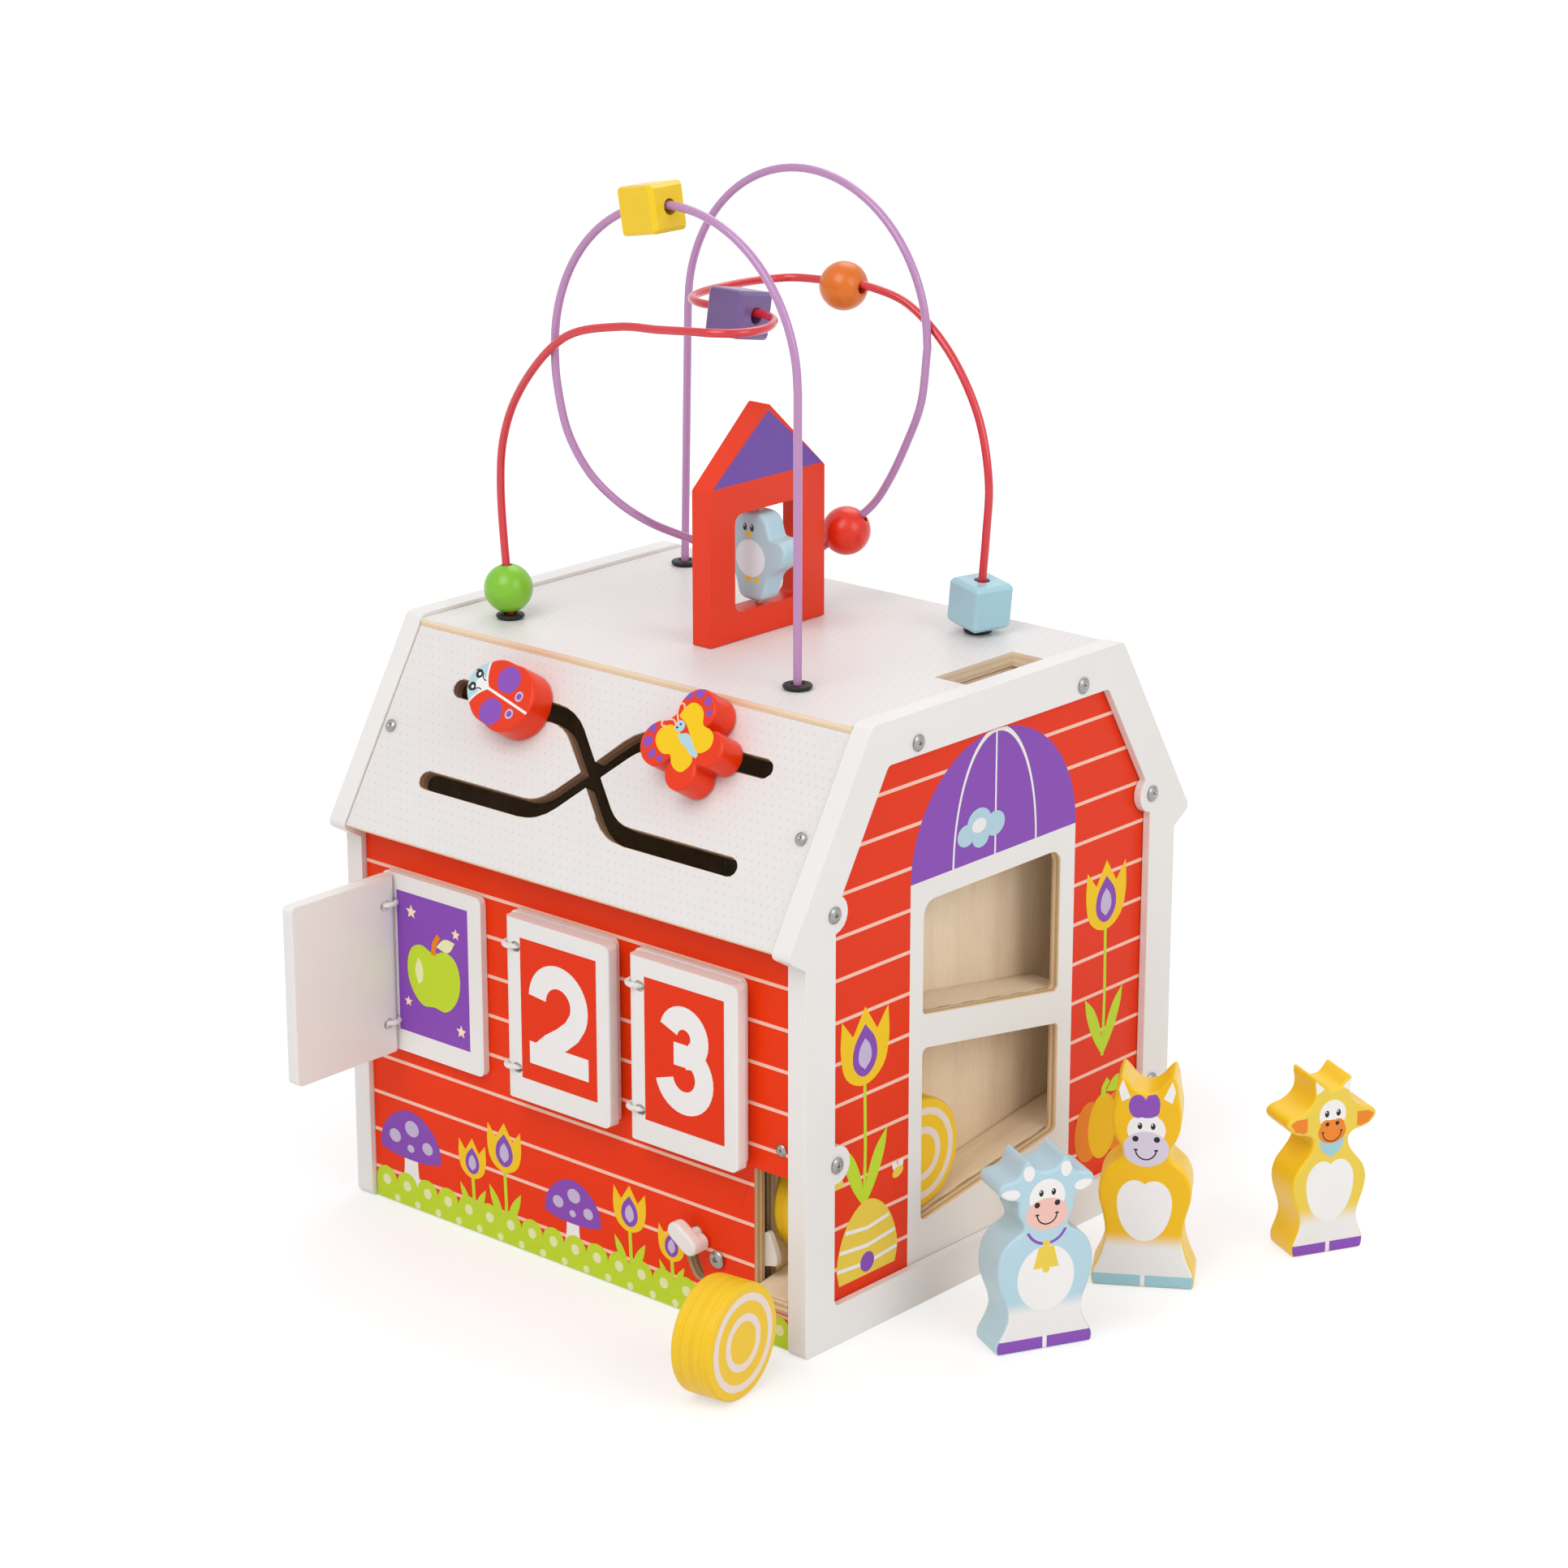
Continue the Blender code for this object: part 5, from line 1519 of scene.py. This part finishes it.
white_door = painted("door_paint", colours["white"], 0.34)
for number, hinge_x in hinge_lines.items():
    soften(f"door_plate_{number}", 0.5 * mm, white_door, 2)
    soften(f"door_{number}", 0.6 * mm, white_door, 2, lambda bm: close_cord_holes(bm, hinge_x))

# %% [markdown]
# ## Cord loops
# Each loop is a ring of cord through the door with a tail into the wall that ends in a
# knot. Ring, tail and knot are all round, so each is a section turned about its own axis,
# and no cord needs a curve of its own.

# %% Cord loops


def cord_finish():
    """White cord: twisted strands as a fine ripple."""
    sheet = Finish("hinge_cord")
    twist = sheet.noise(0.5 * mm, 2, (1, 1, 0.4))
    base = sheet.mix(twist.ease(0.35, 0.65), tone(222, 214, 208), tone(242, 239, 236))
    return sheet.coat(base, 0.6 + twist * 0.1, twist, 0.04 * mm)


hinge_cord = cord_finish()
loop_radius = 4.2 * mm
cord_radius = 1.12 * mm
for number, hinge_x in hinge_lines.items():
    for label, height in loop_heights.items():
        node = f"door_{number}_{label}_loop"
        low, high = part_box(node)
        centre = Vector((hinge_x, hinge_y, height))
        ring = round_bend((loop_radius, 0), cord_radius, 0, 360, 12)[:-1]
        bm = bmesh.new()
        turned(bm, ring, Matrix.Translation(centre), 40, closed=True)
        reach = high.y - centre.y - loop_radius
        tail = [(0, 0.2 * mm), (0.9 * mm, 0.2 * mm), (0.9 * mm, reach - 3.0 * mm)]
        tail += round_bend((0, reach - 1.6 * mm), 2.1 * mm, -50, 50, 6)
        tail.append((0, reach))
        turned(bm, tail, plane(centre + Y * loop_radius, Z, X), 16)
        stand_for(smooth(new_piece(node + "_cord", bm, [hinge_cord]), 50), node)

# %% [markdown]
# ## Gate
# The white knob moves a lever behind the wall, whose tongue stops the wheels. Both are
# plates with round ends, so an outline in millimetres is drawn round their bosses and
# extruded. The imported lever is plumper, because its joint was checked with that shape.

# %% Gate
gate_pivot = Vector((79.2, 28.5))
gate_peg = Vector((67.7, 36.5))
boss = 5.4
knob_run = Vector((math.cos(math.radians(-33)), math.sin(math.radians(-33))))
knob_half_width = 3.9
knob_end = 4.4
bar_thickness = 5.8 * mm
tongue = [(101.8, 29.9), (103.9, 30.0), (104.9, 31.6), (104.4, 34.6)]
tongue += [(100.6, 43.6), (99.2, 44.0), (97.4, 42.8)]


def scaled(points):
    """Points given in millimetres, in metres."""
    return [(u * mm, v * mm) for u, v in points]


def gate_lever_piece():
    """Plate behind the wall: two round bosses and a narrow tongue that tapers to its top."""
    low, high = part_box("gate_lever")
    outline = round_bend(gate_pivot, boss, 230, 290, 6) + tongue
    outline += round_bend(gate_pivot, boss, 70, 95, 3)
    outline += round_bend(gate_peg, boss, 55, 235, 14)
    place = plane((0, (low.y + high.y) / 2, 0), X, Z)
    thickness = high.y - low.y
    return slab("gate_lever_plate", scaled(outline), thickness, 0.5 * mm, place, white_door)


def gate_knob_piece():
    """Slim bar on a round boss, with the peg that goes through the slot."""
    low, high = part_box("gate_knob")
    ends = [gate_peg + knob_run * side * knob_end for side in (-1, 1)]
    bar = round_bend(ends[0], knob_half_width, 57, 237, 14)
    bar += round_bend(ends[1], knob_half_width, -123, 57, 14)
    place = plane((0, low.y + bar_thickness / 2, 0), X, Z)
    piece = slab("gate_knob_bar", scaled(bar), bar_thickness, 1.3 * mm, place, white_door)
    bm = bmesh.new()
    bm.from_mesh(piece.data)
    bpy.data.objects.remove(piece)
    inside = low.y + bar_thickness / 2
    ease = 0.5 * mm
    posts = ((ends[1], 3.6 * mm, low.y + 8.9 * mm), (gate_peg, 2.5 * mm, high.y))
    for spot, radius, back in posts:
        length = back - inside
        post = [(0, 0), (radius, 0), (radius, length - ease), (radius - ease, length), (0, length)]
        turned(bm, post, plane((spot.x * mm, inside, spot.y * mm), Z, X), 32)
    return smooth(new_piece("gate_knob_body", bm, [white_door]), 30)


stand_for(gate_lever_piece(), "gate_lever")
stand_for(gate_knob_piece(), "gate_knob")

# %% Steel
steel = Finish("steel")
streak = steel.noise(0.6 * mm, 2)
steel.shader.inputs["Metallic"].default_value = 1
steel.coat(tone(158, 157, 156), 0.26 + streak * 0.15, streak, 0.01 * mm, 0, 0.5)
soften("gate_pivot_nut", 0.2 * mm, steel.material, 2)

# %% [markdown]
# ## Screws
# The boards are held by small pan-head screws with a cross recess. One head is modelled
# once, and Geometry Nodes set it on every point, turned to the board and spun by its own
# angle. Copies made by hand would have to be changed one by one.

# %% Screw head
head_radius = 3.6 * mm
head_seat = 0.35 * mm
head_top = 1.85 * mm
shank_radius = 1.5 * mm
recess_reach = 2.1 * mm
recess_half = 0.55 * mm


def screw_head():
    """Pan head with a cross recess, its seat on the local ground."""
    bm = bmesh.new()
    profile = [(0, -1.0 * mm), (shank_radius, -1.0 * mm), (shank_radius, 0)]
    profile += [(3.3 * mm, 0), (head_radius, head_seat)]
    profile += round_bend((1.1 * mm, -1.7 * mm), 3.5 * mm, 42, 78, 6)
    profile.append((0, head_top))
    turned(bm, profile, Matrix.Identity(4), 40)
    head = new_piece("screw_head", bm, [steel.material])
    cutter_bm = bmesh.new()
    blade = [(-recess_reach, recess_half), (recess_reach, recess_half)]
    blade += [(recess_reach, -recess_half), (-recess_reach, -recess_half)]
    blade = counterclockwise(blade)
    tip = [(u * 0.35, v * 0.5) for u, v in blade]
    for turn in (0, 90):
        place = Matrix.Rotation(math.radians(turn), 4, "Z")
        stack(cutter_bm, [at_height(tip, 0.5 * mm), at_height(blade, 2.6 * mm)], place)
    cutter = new_piece("screw_recess", cutter_bm, [steel.material])
    cut = head.modifiers.new("recess", "BOOLEAN")
    cut.object = cutter
    cut.solver = "EXACT"
    cut.use_self = True
    keep_result(head)
    bpy.data.objects.remove(cutter)
    return smooth(head, 30)


# %% Screws on points


def attribute(tree, name, kind):
    """Value that each point of the mesh carries."""
    return step(tree, "GeometryNodeInputNamedAttribute", {"Name": name}, {"data_type": kind})


def screw_group():
    """Sets the head on each point by the point's facing, spin and size."""
    sockets = (("Head", "NodeSocketObject"), ("Material", "NodeSocketMaterial"))
    tree, start, stop = group_of("screws_on_points", sockets)
    given = start.outputs
    facing = attribute(tree, "facing", "FLOAT_VECTOR")
    spin = attribute(tree, "spin", "FLOAT")
    size = attribute(tree, "size", "FLOAT")
    links = {"Vector": facing.outputs[0]}
    aim = step(tree, "FunctionNodeAlignRotationToVector", links, {"axis": "Z"})
    links = {"Axis": (0, 0, 1), "Angle": spin.outputs[0]}
    own = step(tree, "FunctionNodeAxisAngleToRotation", links)
    links = {"Rotation": aim.outputs[0], "Rotate By": own.outputs[0]}
    whole = step(tree, "FunctionNodeRotateRotation", links, {"rotation_space": "LOCAL"})
    head = step(tree, "GeometryNodeObjectInfo", {"Object": given["Head"]})
    links = {"Points": given["Geometry"], "Instance": head.outputs["Geometry"]}
    links |= {"Rotation": whole.outputs[0], "Scale": size.outputs[0]}
    dress_and_end(tree, start, step(tree, "GeometryNodeInstanceOnPoints", links), stop)
    return tree


head = screw_head()
screw_tree = screw_group()
print("screw head:", len(head.data.polygons), "faces")

# %% Screw places
slope_screw = slope_top + slope_down * 45 * mm
small_head, frame_head = 0.7, 0.92
left_spots = ((-52, 237.3), (52, 237.3), (-101, 180), (101, 180), (-99, 76.7), (99, 76.7))
right_spots = (*left_spots[:5], (106, 51))
frame_face = 127 * mm
board_end = 112.6 * mm


def on_frame(side, spots):
    """Screws on an end frame, on its outer face."""
    return [(Vector((side * frame_face, y * mm, z * mm)), X * side, frame_head) for y, z in spots]


roof_screws = []
for x in (-board_end, board_end):
    roof_screws.append((slope_screw + X * x, slope_normal, small_head))
    roof_screws.append((Vector((x, -slope_screw.y, slope_screw.z)), rear_normal, small_head))
    for side in (-1, 1):
        spot = Vector((x, side * wall_face, 84 * mm))
        roof_screws.append((spot, Y * side, small_head))
screw_spots = {
    "frame_right_screws": on_frame(1, right_spots),
    "frame_left_screws": on_frame(-1, left_spots),
    "roof_and_wall_screws": roof_screws,
}

# %% Screws set
for name, spots in screw_spots.items():
    bm = bmesh.new()
    facing = bm.verts.layers.float_vector.new("facing")
    spin = bm.verts.layers.float.new("spin")
    size = bm.verts.layers.float.new("size")
    for i, (spot, normal, scale) in enumerate(spots):
        vert = bm.verts.new(spot)
        vert[facing] = normal
        vert[spin] = 0.7 * i + 0.3
        vert[size] = scale
    piece = new_piece(name, bm, [])
    grow(piece, screw_tree, {"Head": head, "Material": steel.material})
    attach(smooth(piece, 30), "barn")
    print(name, len(spots))

# %% Pivot screw
low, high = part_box("gate_pivot_screw")
centre = (low + high) / 2
seat_y = high.y - 14.6 * mm + 1.9 * mm
shank_y = high.y - 12.6 * mm
shank_end = -12.4 * mm
shank = [(0, 1 * mm), (shank_radius, 1 * mm), (shank_radius, shank_end), (0, shank_end)]
bm = bmesh.new()
bm.from_mesh(head.data)
bm.transform(plane((centre.x, seat_y, centre.z), X, Z))
turned(bm, shank, plane((centre.x, shank_y, centre.z), X, Z), 20)
pivot_screw = new_piece("gate_pivot_screw_head", bm, [steel.material])
stand_for(smooth(pivot_screw, 30), "gate_pivot_screw")
bpy.data.objects.remove(head)

# %% [markdown]
# ## Prints
# Pictures and numerals are screen printed. Each shape is a very thin layer with its own
# ink, laid over the last, because a picture file would blur and has no edge of its own.
# The pictures are a plain set of garden things of this file's own: tulips, toadstools, a
# hedge, an apple, a beehive and a pumpkin.

# %% Outlines for prints
ellipse_steps = 48


def ellipse(u, v, half_u, half_v, turn=0):
    """Outline of an ellipse about (u, v)."""
    c, s = math.cos(math.radians(turn)), math.sin(math.radians(turn))
    points = []
    for i in range(ellipse_steps):
        t = 2 * math.pi * i / ellipse_steps
        a, b = half_u * math.cos(t), half_v * math.sin(t)
        points.append((u + a * c - b * s, v + a * s + b * c))
    return points


def box(left, bottom, right, top):
    """Outline of an upright rectangle."""
    return [(left, bottom), (right, bottom), (right, top), (left, top)]


def band(path, half_width):
    """Outline of a stroke along a path."""
    left, right = [], []
    for i, point in enumerate(path):
        ahead = Vector(path[min(i + 1, len(path) - 1)]) - Vector(path[max(i - 1, 0)])
        side = Vector((-ahead.y, ahead.x)).normalized() * half_width
        left.append((point[0] + side.x, point[1] + side.y))
        right.append((point[0] - side.x, point[1] - side.y))
    return left + right[::-1]


def shifted(outline, u, v, scale=1):
    """Outline grown and moved to (u, v)."""
    return [(u + a * scale, v + b * scale) for a, b in outline]


# %% Print layers
ink_foot = 0.005 * mm
first_layer = 0.03
layer_step = 0.02


class Print:
    """Printed shapes as thin layers on a flat face, in millimetres from its origin."""

    def __init__(self, name, body, slot, place):
        self.name, self.body, self.slot, self.place = name, body, slot, place
        self.bm = bmesh.new()
        self.inks = []
        self.level = 0

    def fill(self, outline, colour, level=None):
        """Adds a shape one layer above the last, or at a level."""
        self.level = self.level + 1 if level is None else level
        if colour not in self.inks:
            self.inks.append(colour)
        outline = counterclockwise(scaled(outline))
        ink_top = (first_layer + layer_step * self.level) * mm
        rings = [at_height(outline, ink_foot), at_height(outline, ink_top)]
        for face in stack(self.bm, rings, self.place):
            face.material_index = self.inks.index(colour)

    def finish(self):
        piece = new_piece(self.name, self.bm, [ink(colour) for colour in self.inks])
        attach(piece, self.body)
        print(self.name, len(self.inks), "inks")


# %% [markdown]
# ## Motifs
# A motif that comes more than once is a function of its place and size. Its few corner
# points are drawn through a smooth curve, as a sign painter would, so it can be grown
# without corners showing.

# %% Tulip and toadstool


def tulip(sheet, u, v, scale, stem):
    """Tulip with its flower's foot at (u, v) and its stem going down."""
    sheet.fill(band([(u, v + 2), (u + 0.6, v - stem / 2), (u, v - stem)], 0.9), "lime", 0)
    for side in (-1, 1):
        blade = [(0, 0), (side * 5, 7), (side * 8.5, 15)]
        blade += [(side * 9.5, 21), (side * 4.5, 16), (side, 8)]
        sheet.fill(shifted(flowing(blade, 4, 70), u, v - stem, scale), "lime")
    back = [(0, 0), (7.5, 3.5), (10, 11), (9.6, 20.5), (5, 15), (0, 22.5)]
    back += [(-5, 15), (-9.6, 20.5), (-10, 11), (-7.5, 3.5)]
    sheet.fill(shifted(flowing(back, 4, 75), u, v, scale), "yellow")
    cup = [(0, 2.5), (4.6, 6), (4.4, 12), (0, 17.5), (-4.4, 12), (-4.6, 6)]
    sheet.fill(shifted(flowing(cup, 4, 75), u, v, scale), "purple")
    light = [(0, 4.5), (2.5, 7), (2.2, 10.8), (0, 13.5), (-2.2, 10.8), (-2.5, 7)]
    sheet.fill(shifted(flowing(light, 4, 75), u, v, scale), "lilac")


def toadstool(sheet, u, v, scale):
    """Toadstool with its foot at (u, v)."""
    stalk = [(-5.5, 0), (-3.8, 6), (-3.4, 15), (3.4, 15), (3.8, 6), (5.5, 0)]
    sheet.fill(shifted(flowing(stalk, 3, 70), u, v, scale), "print_white", 1)
    cap = [(-16, 13.5), (-14.5, 21), (-8, 28), (0, 30.5), (8, 28)]
    cap += [(14.5, 21), (16, 13.5), (8, 11.6), (-8, 11.6)]
    sheet.fill(shifted(flowing(cap, 4, 60), u, v, scale), "purple")
    spots = [(-8.2, 19, 3.0, 2.6), (0.8, 23.8, 3.6, 3.1), (8.8, 18, 2.7, 2.4)]
    spots.append((0, 15.8, 1.8, 1.5))
    for spot in spots:
        sheet.fill(shifted(ellipse(*spot), u, v, scale), "lilac", 3)


# %% Hedge


def hedge(sheet, left, right, base, height, pitch):
    """Scalloped hedge with two rows of pale dots."""
    count = round((right - left) / pitch)
    pitch = (right - left) / count
    bow = base + height - pitch / 2
    row = base + max(height - pitch - 1.2, 1.9)
    middles = [left + (i + 0.5) * pitch for i in range(count)]
    top = [(left, base), (right, base)]
    for middle in reversed(middles):
        top += round_bend((middle, bow), pitch / 2, 0, 180, 12)
    sheet.fill(top, "lime", 6)
    for middle in middles:
        sheet.fill(ellipse(middle, bow, 2.3, 2.3), "pale_lime", 7)
        if middle != middles[-1]:
            sheet.fill(ellipse(middle + pitch / 2, row, 1.7, 1.7), "pale_lime", 7)


# %% Numerals


def numeral(number):
    """Strokes of a bold numeral 45 mm high, centred on the origin, as outlines."""
    if number == 1:
        flag = [(-2.4, 22.5), (-2.4, 11.5), (-11, 8), (-11, 16.5), (-6, 18.6)]
        return [box(-2.5, -22.5, 7.1, 22.5), flag]
    if number == 2:
        bow = round_bend((0, 6.1), 11.6, 178, -28, 24)
        path = [*bow, (7.4, -3.6), (1.8, -8.2), (-4.8, -12.4), (-9.6, -16.6), (-11.2, -19)]
        return [band(path, 4.8), box(-16.4, -22.5, 16.4, -13)]
    upper = round_bend((0, 9.6), 8.2, 165, -88, 20)
    lower = round_bend((0, -7.1), 10.6, 82, -168, 24)
    return [band(upper, 4.75), band(lower, 4.8), box(-5.4, -2.6, 1.6, 6.9)]


# %% [markdown]
# ## Pictures
# Each picture is laid on its own board: the front wall, the butterfly, the doors, the first
# door's plate and the right gable. Places are in millimetres on that board, so a picture
# rides with a door or a slider when the joint moves it.

# %% Front pictures
front = Print("front_wall_print", "barn", "side_panel_front", plane(-Y * wall_face, X, Z))
hedge(front, -117.4, 93.0, 0.4, 15, 12.6)
hedge(front, 94.0, 117.4, 0.4, 13, 11.7)
for u, v, scale in ((-96, 9, 1.15), (-1, 9, 1.0)):
    toadstool(front, u, v, scale)
tulips = [(-59, 24, 0.8, 20), (-40, 32, 0.98, 28), (31, 26, 0.9, 22), (54, 20, 0.72, 16)]
for u, v, scale, stem in tulips:
    tulip(front, u, v, scale, stem)
front.finish()

# %% Butterfly outlines
lower_wing = [(-13.3, -3.2), (-13.0, 0.7), (-9.8, 3.3), (-7.1, 3.8), (-2.3, 1.5)]
lower_wing += [(2.0, -2.5), (7.3, -6.1), (8.1, -8.4), (7.1, -10.9), (4.5, -13.2)]
lower_wing += [(0.5, -12.4), (-2.1, -10.0), (-3.5, -7.7), (-7.1, -8.0), (-10.5, -6.5)]
upper_wing = [(-5.9, 7.9), (-4.5, 11.6), (-1.5, 14.3), (2.3, 13.9), (5.2, 11.6)]
upper_wing += [(7.3, 6.8), (11.5, 5.7), (14.3, 3.0), (14.2, -1.3), (10.1, -4.3)]
upper_wing += [(7.0, -2.8), (3.5, 0.7), (-1.1, 5.5)]
trunk = [(-3.5, 0.7), (-0.6, -2.0), (2.4, -3.3), (5.8, -5.5), (9.4, -6.6)]
trunk += [(9.7, -4.9), (7.0, -2.8), (4.0, 0.4), (1.1, 2.1)]
long_feeler = [(-5.7, 4.1), (-7.6, 5.8), (-10.3, 5.6), (-12.6, 4.8)]
long_feeler += [(-13.0, 3.2), (-11.9, 2.5), (-10.8, 2.9)]
curled_feeler = [(-5.0, 5.4), (-7.1, 8.6), (-7.5, 11.9)]
curled_feeler += [(-6.6, 13.0), (-5.2, 12.6), (-4.7, 11.4)]

# %% Butterfly print
wings = Print("butterfly_wings", "butterfly", "butterfly", slider_faces["butterfly"])
for outline in (lower_wing, upper_wing):
    wings.fill(flowing(outline, 4, 80), "yellow")
wings.fill(flowing(trunk, 4, 80), "light_blue")
wings.fill(ellipse(-3.8, 4.1, 2.5, 2.4), "light_blue")
for feeler in (long_feeler, curled_feeler):
    smoothed = curve_through([Vector(point) for point in feeler], 4)
    wings.fill(band([tuple(point) for point in smoothed], 0.35), "line_pink")
for u, v in ((-3.6, 4.9), (-4.8, 3.3)):
    wings.fill(ellipse(u, v, 0.5, 0.42, 20), "black")
wings.finish()

# %% Door pictures
door_face = 124.8 * mm
plate_face = 118.5 * mm
shut = plane(-Y * door_face, X, Z)
swung = plane((-102.45 * mm, hinge_y, 0), -Y, Z)
for number, centre, place in ((2, 2.45, shut), (3, 70.65, shut), (1, 26.1, swung)):
    node = f"door_{number}"
    sheet = Print(node + "_print", node, node, place)
    sheet.fill(box(centre - 21, 83, centre + 21, 143), "red", 1)
    for outline in numeral(number):
        sheet.fill(shifted(outline, centre, 113), "print_white")
    sheet.finish()

# %% Apple on the first plate
plate = Print("door_plate_1_print", "barn", "door_plate_1", plane(-Y * plate_face, X, Z))
plate.fill(box(-96.5, 82.5, -55, 144), "purple", 1)
for u, v, size in ((-88, 136, 3.2), (-62, 132, 2.6), (-91, 96, 2.4), (-60, 90, 3.0)):
    points = []
    for i in range(10):
        reach = size if i % 2 == 0 else size * 0.45
        angle = math.pi * i / 5
        points.append((u + reach * math.sin(angle), v + reach * math.cos(angle)))
    plate.fill(points, "cream", 2)
apple = [(0, -14), (7, -14.5), (13.5, -8), (15.5, 1), (13, 9), (7, 11.8)]
apple += [(0, 9.6), (-7, 11.8), (-13, 9), (-15.5, 1), (-13.5, -8), (-7, -14.5)]
shine = [(-9, 6), (-11, 0), (-9, -6), (-6.5, -3), (-6.8, 3)]
plate.fill(shifted(flowing(apple, 4, 70), -75.5, 111), "lime", 3)
plate.fill(shifted(flowing(shine, 4, 75), -75.5, 111), "pale_lime", 4)
plate.fill(band([(-75.5, 120), (-74.8, 125), (-72, 129)], 1.3), "orange", 5)
leaf = flowing([(0, 0), (5, 4.4), (11, 4), (7, -1)], 4, 80)
plate.fill(shifted(leaf, -73.6, 124), "pale_lime", 6)
plate.finish()

# %% Beehive on the right gable
gable_face = 123.2 * mm
gable = Print("gable_print_right", "barn", "gable_panel_right", plane(X * gable_face, Y, Z))
tulip(gable, -78, 103, 1.45, 52)
tulip(gable, 76, 126, 1.35, 56)
hive = [(-17, 0), (-18.5, 8), (-15.5, 19), (-9, 28), (0, 32)]
hive += [(9, 28), (15.5, 19), (18.5, 8), (17, 0)]
gable.fill(shifted(flowing(hive, 4, 65), -76, 22), "sun", 5)
for height, half in ((6.5, 18.2), (14, 16.8), (21.5, 13.2)):
    straw = band([(-half, height), (0, height - 1.6), (half, height)], 0.8)
    gable.fill(shifted(straw, -76, 22), "print_white", 6)
gable.fill(shifted(ellipse(0, 5.4, 4.2, 4.2), -76, 22), "purple", 7)
for u, v, turn in ((-57.5, 60, 20), (-94, 66, -15)):
    for side in (-1, 1):
        gable.fill(ellipse(u + side * 1.6, v + 2.6, 1.5, 2.4, side * -28), "print_white", 6 + side)
    gable.fill(ellipse(u, v, 3.4, 2.1, turn), "sun", 8)

# %% Pumpkin and cloud on the right gable
for offset, half, colour in ((-9.5, 9.5, "orange"), (9.5, 9.5, "orange"), (0, 9.8, "sun_deep")):
    gable.fill(ellipse(77 + offset, 38, half, 14.5 - abs(offset) * 0.12), colour)
gable.fill(band([(77, 51), (77.6, 55), (80.6, 58)], 1.6), "lime")
gable.fill(shifted(leaf, 79, 53, 1.2), "lime")
gable.level = 4
for u, v, radius in ((-17, 190, 5.5), (-9, 193.5, 7.5), (1, 191, 6.2), (-8, 187.4, 5.2)):
    gable.fill(ellipse(u, v, radius, radius * 0.82), "light_blue")
gable.fill(ellipse(-9, 192.5, 4.4, 3.0), "print_white")
gable.finish()
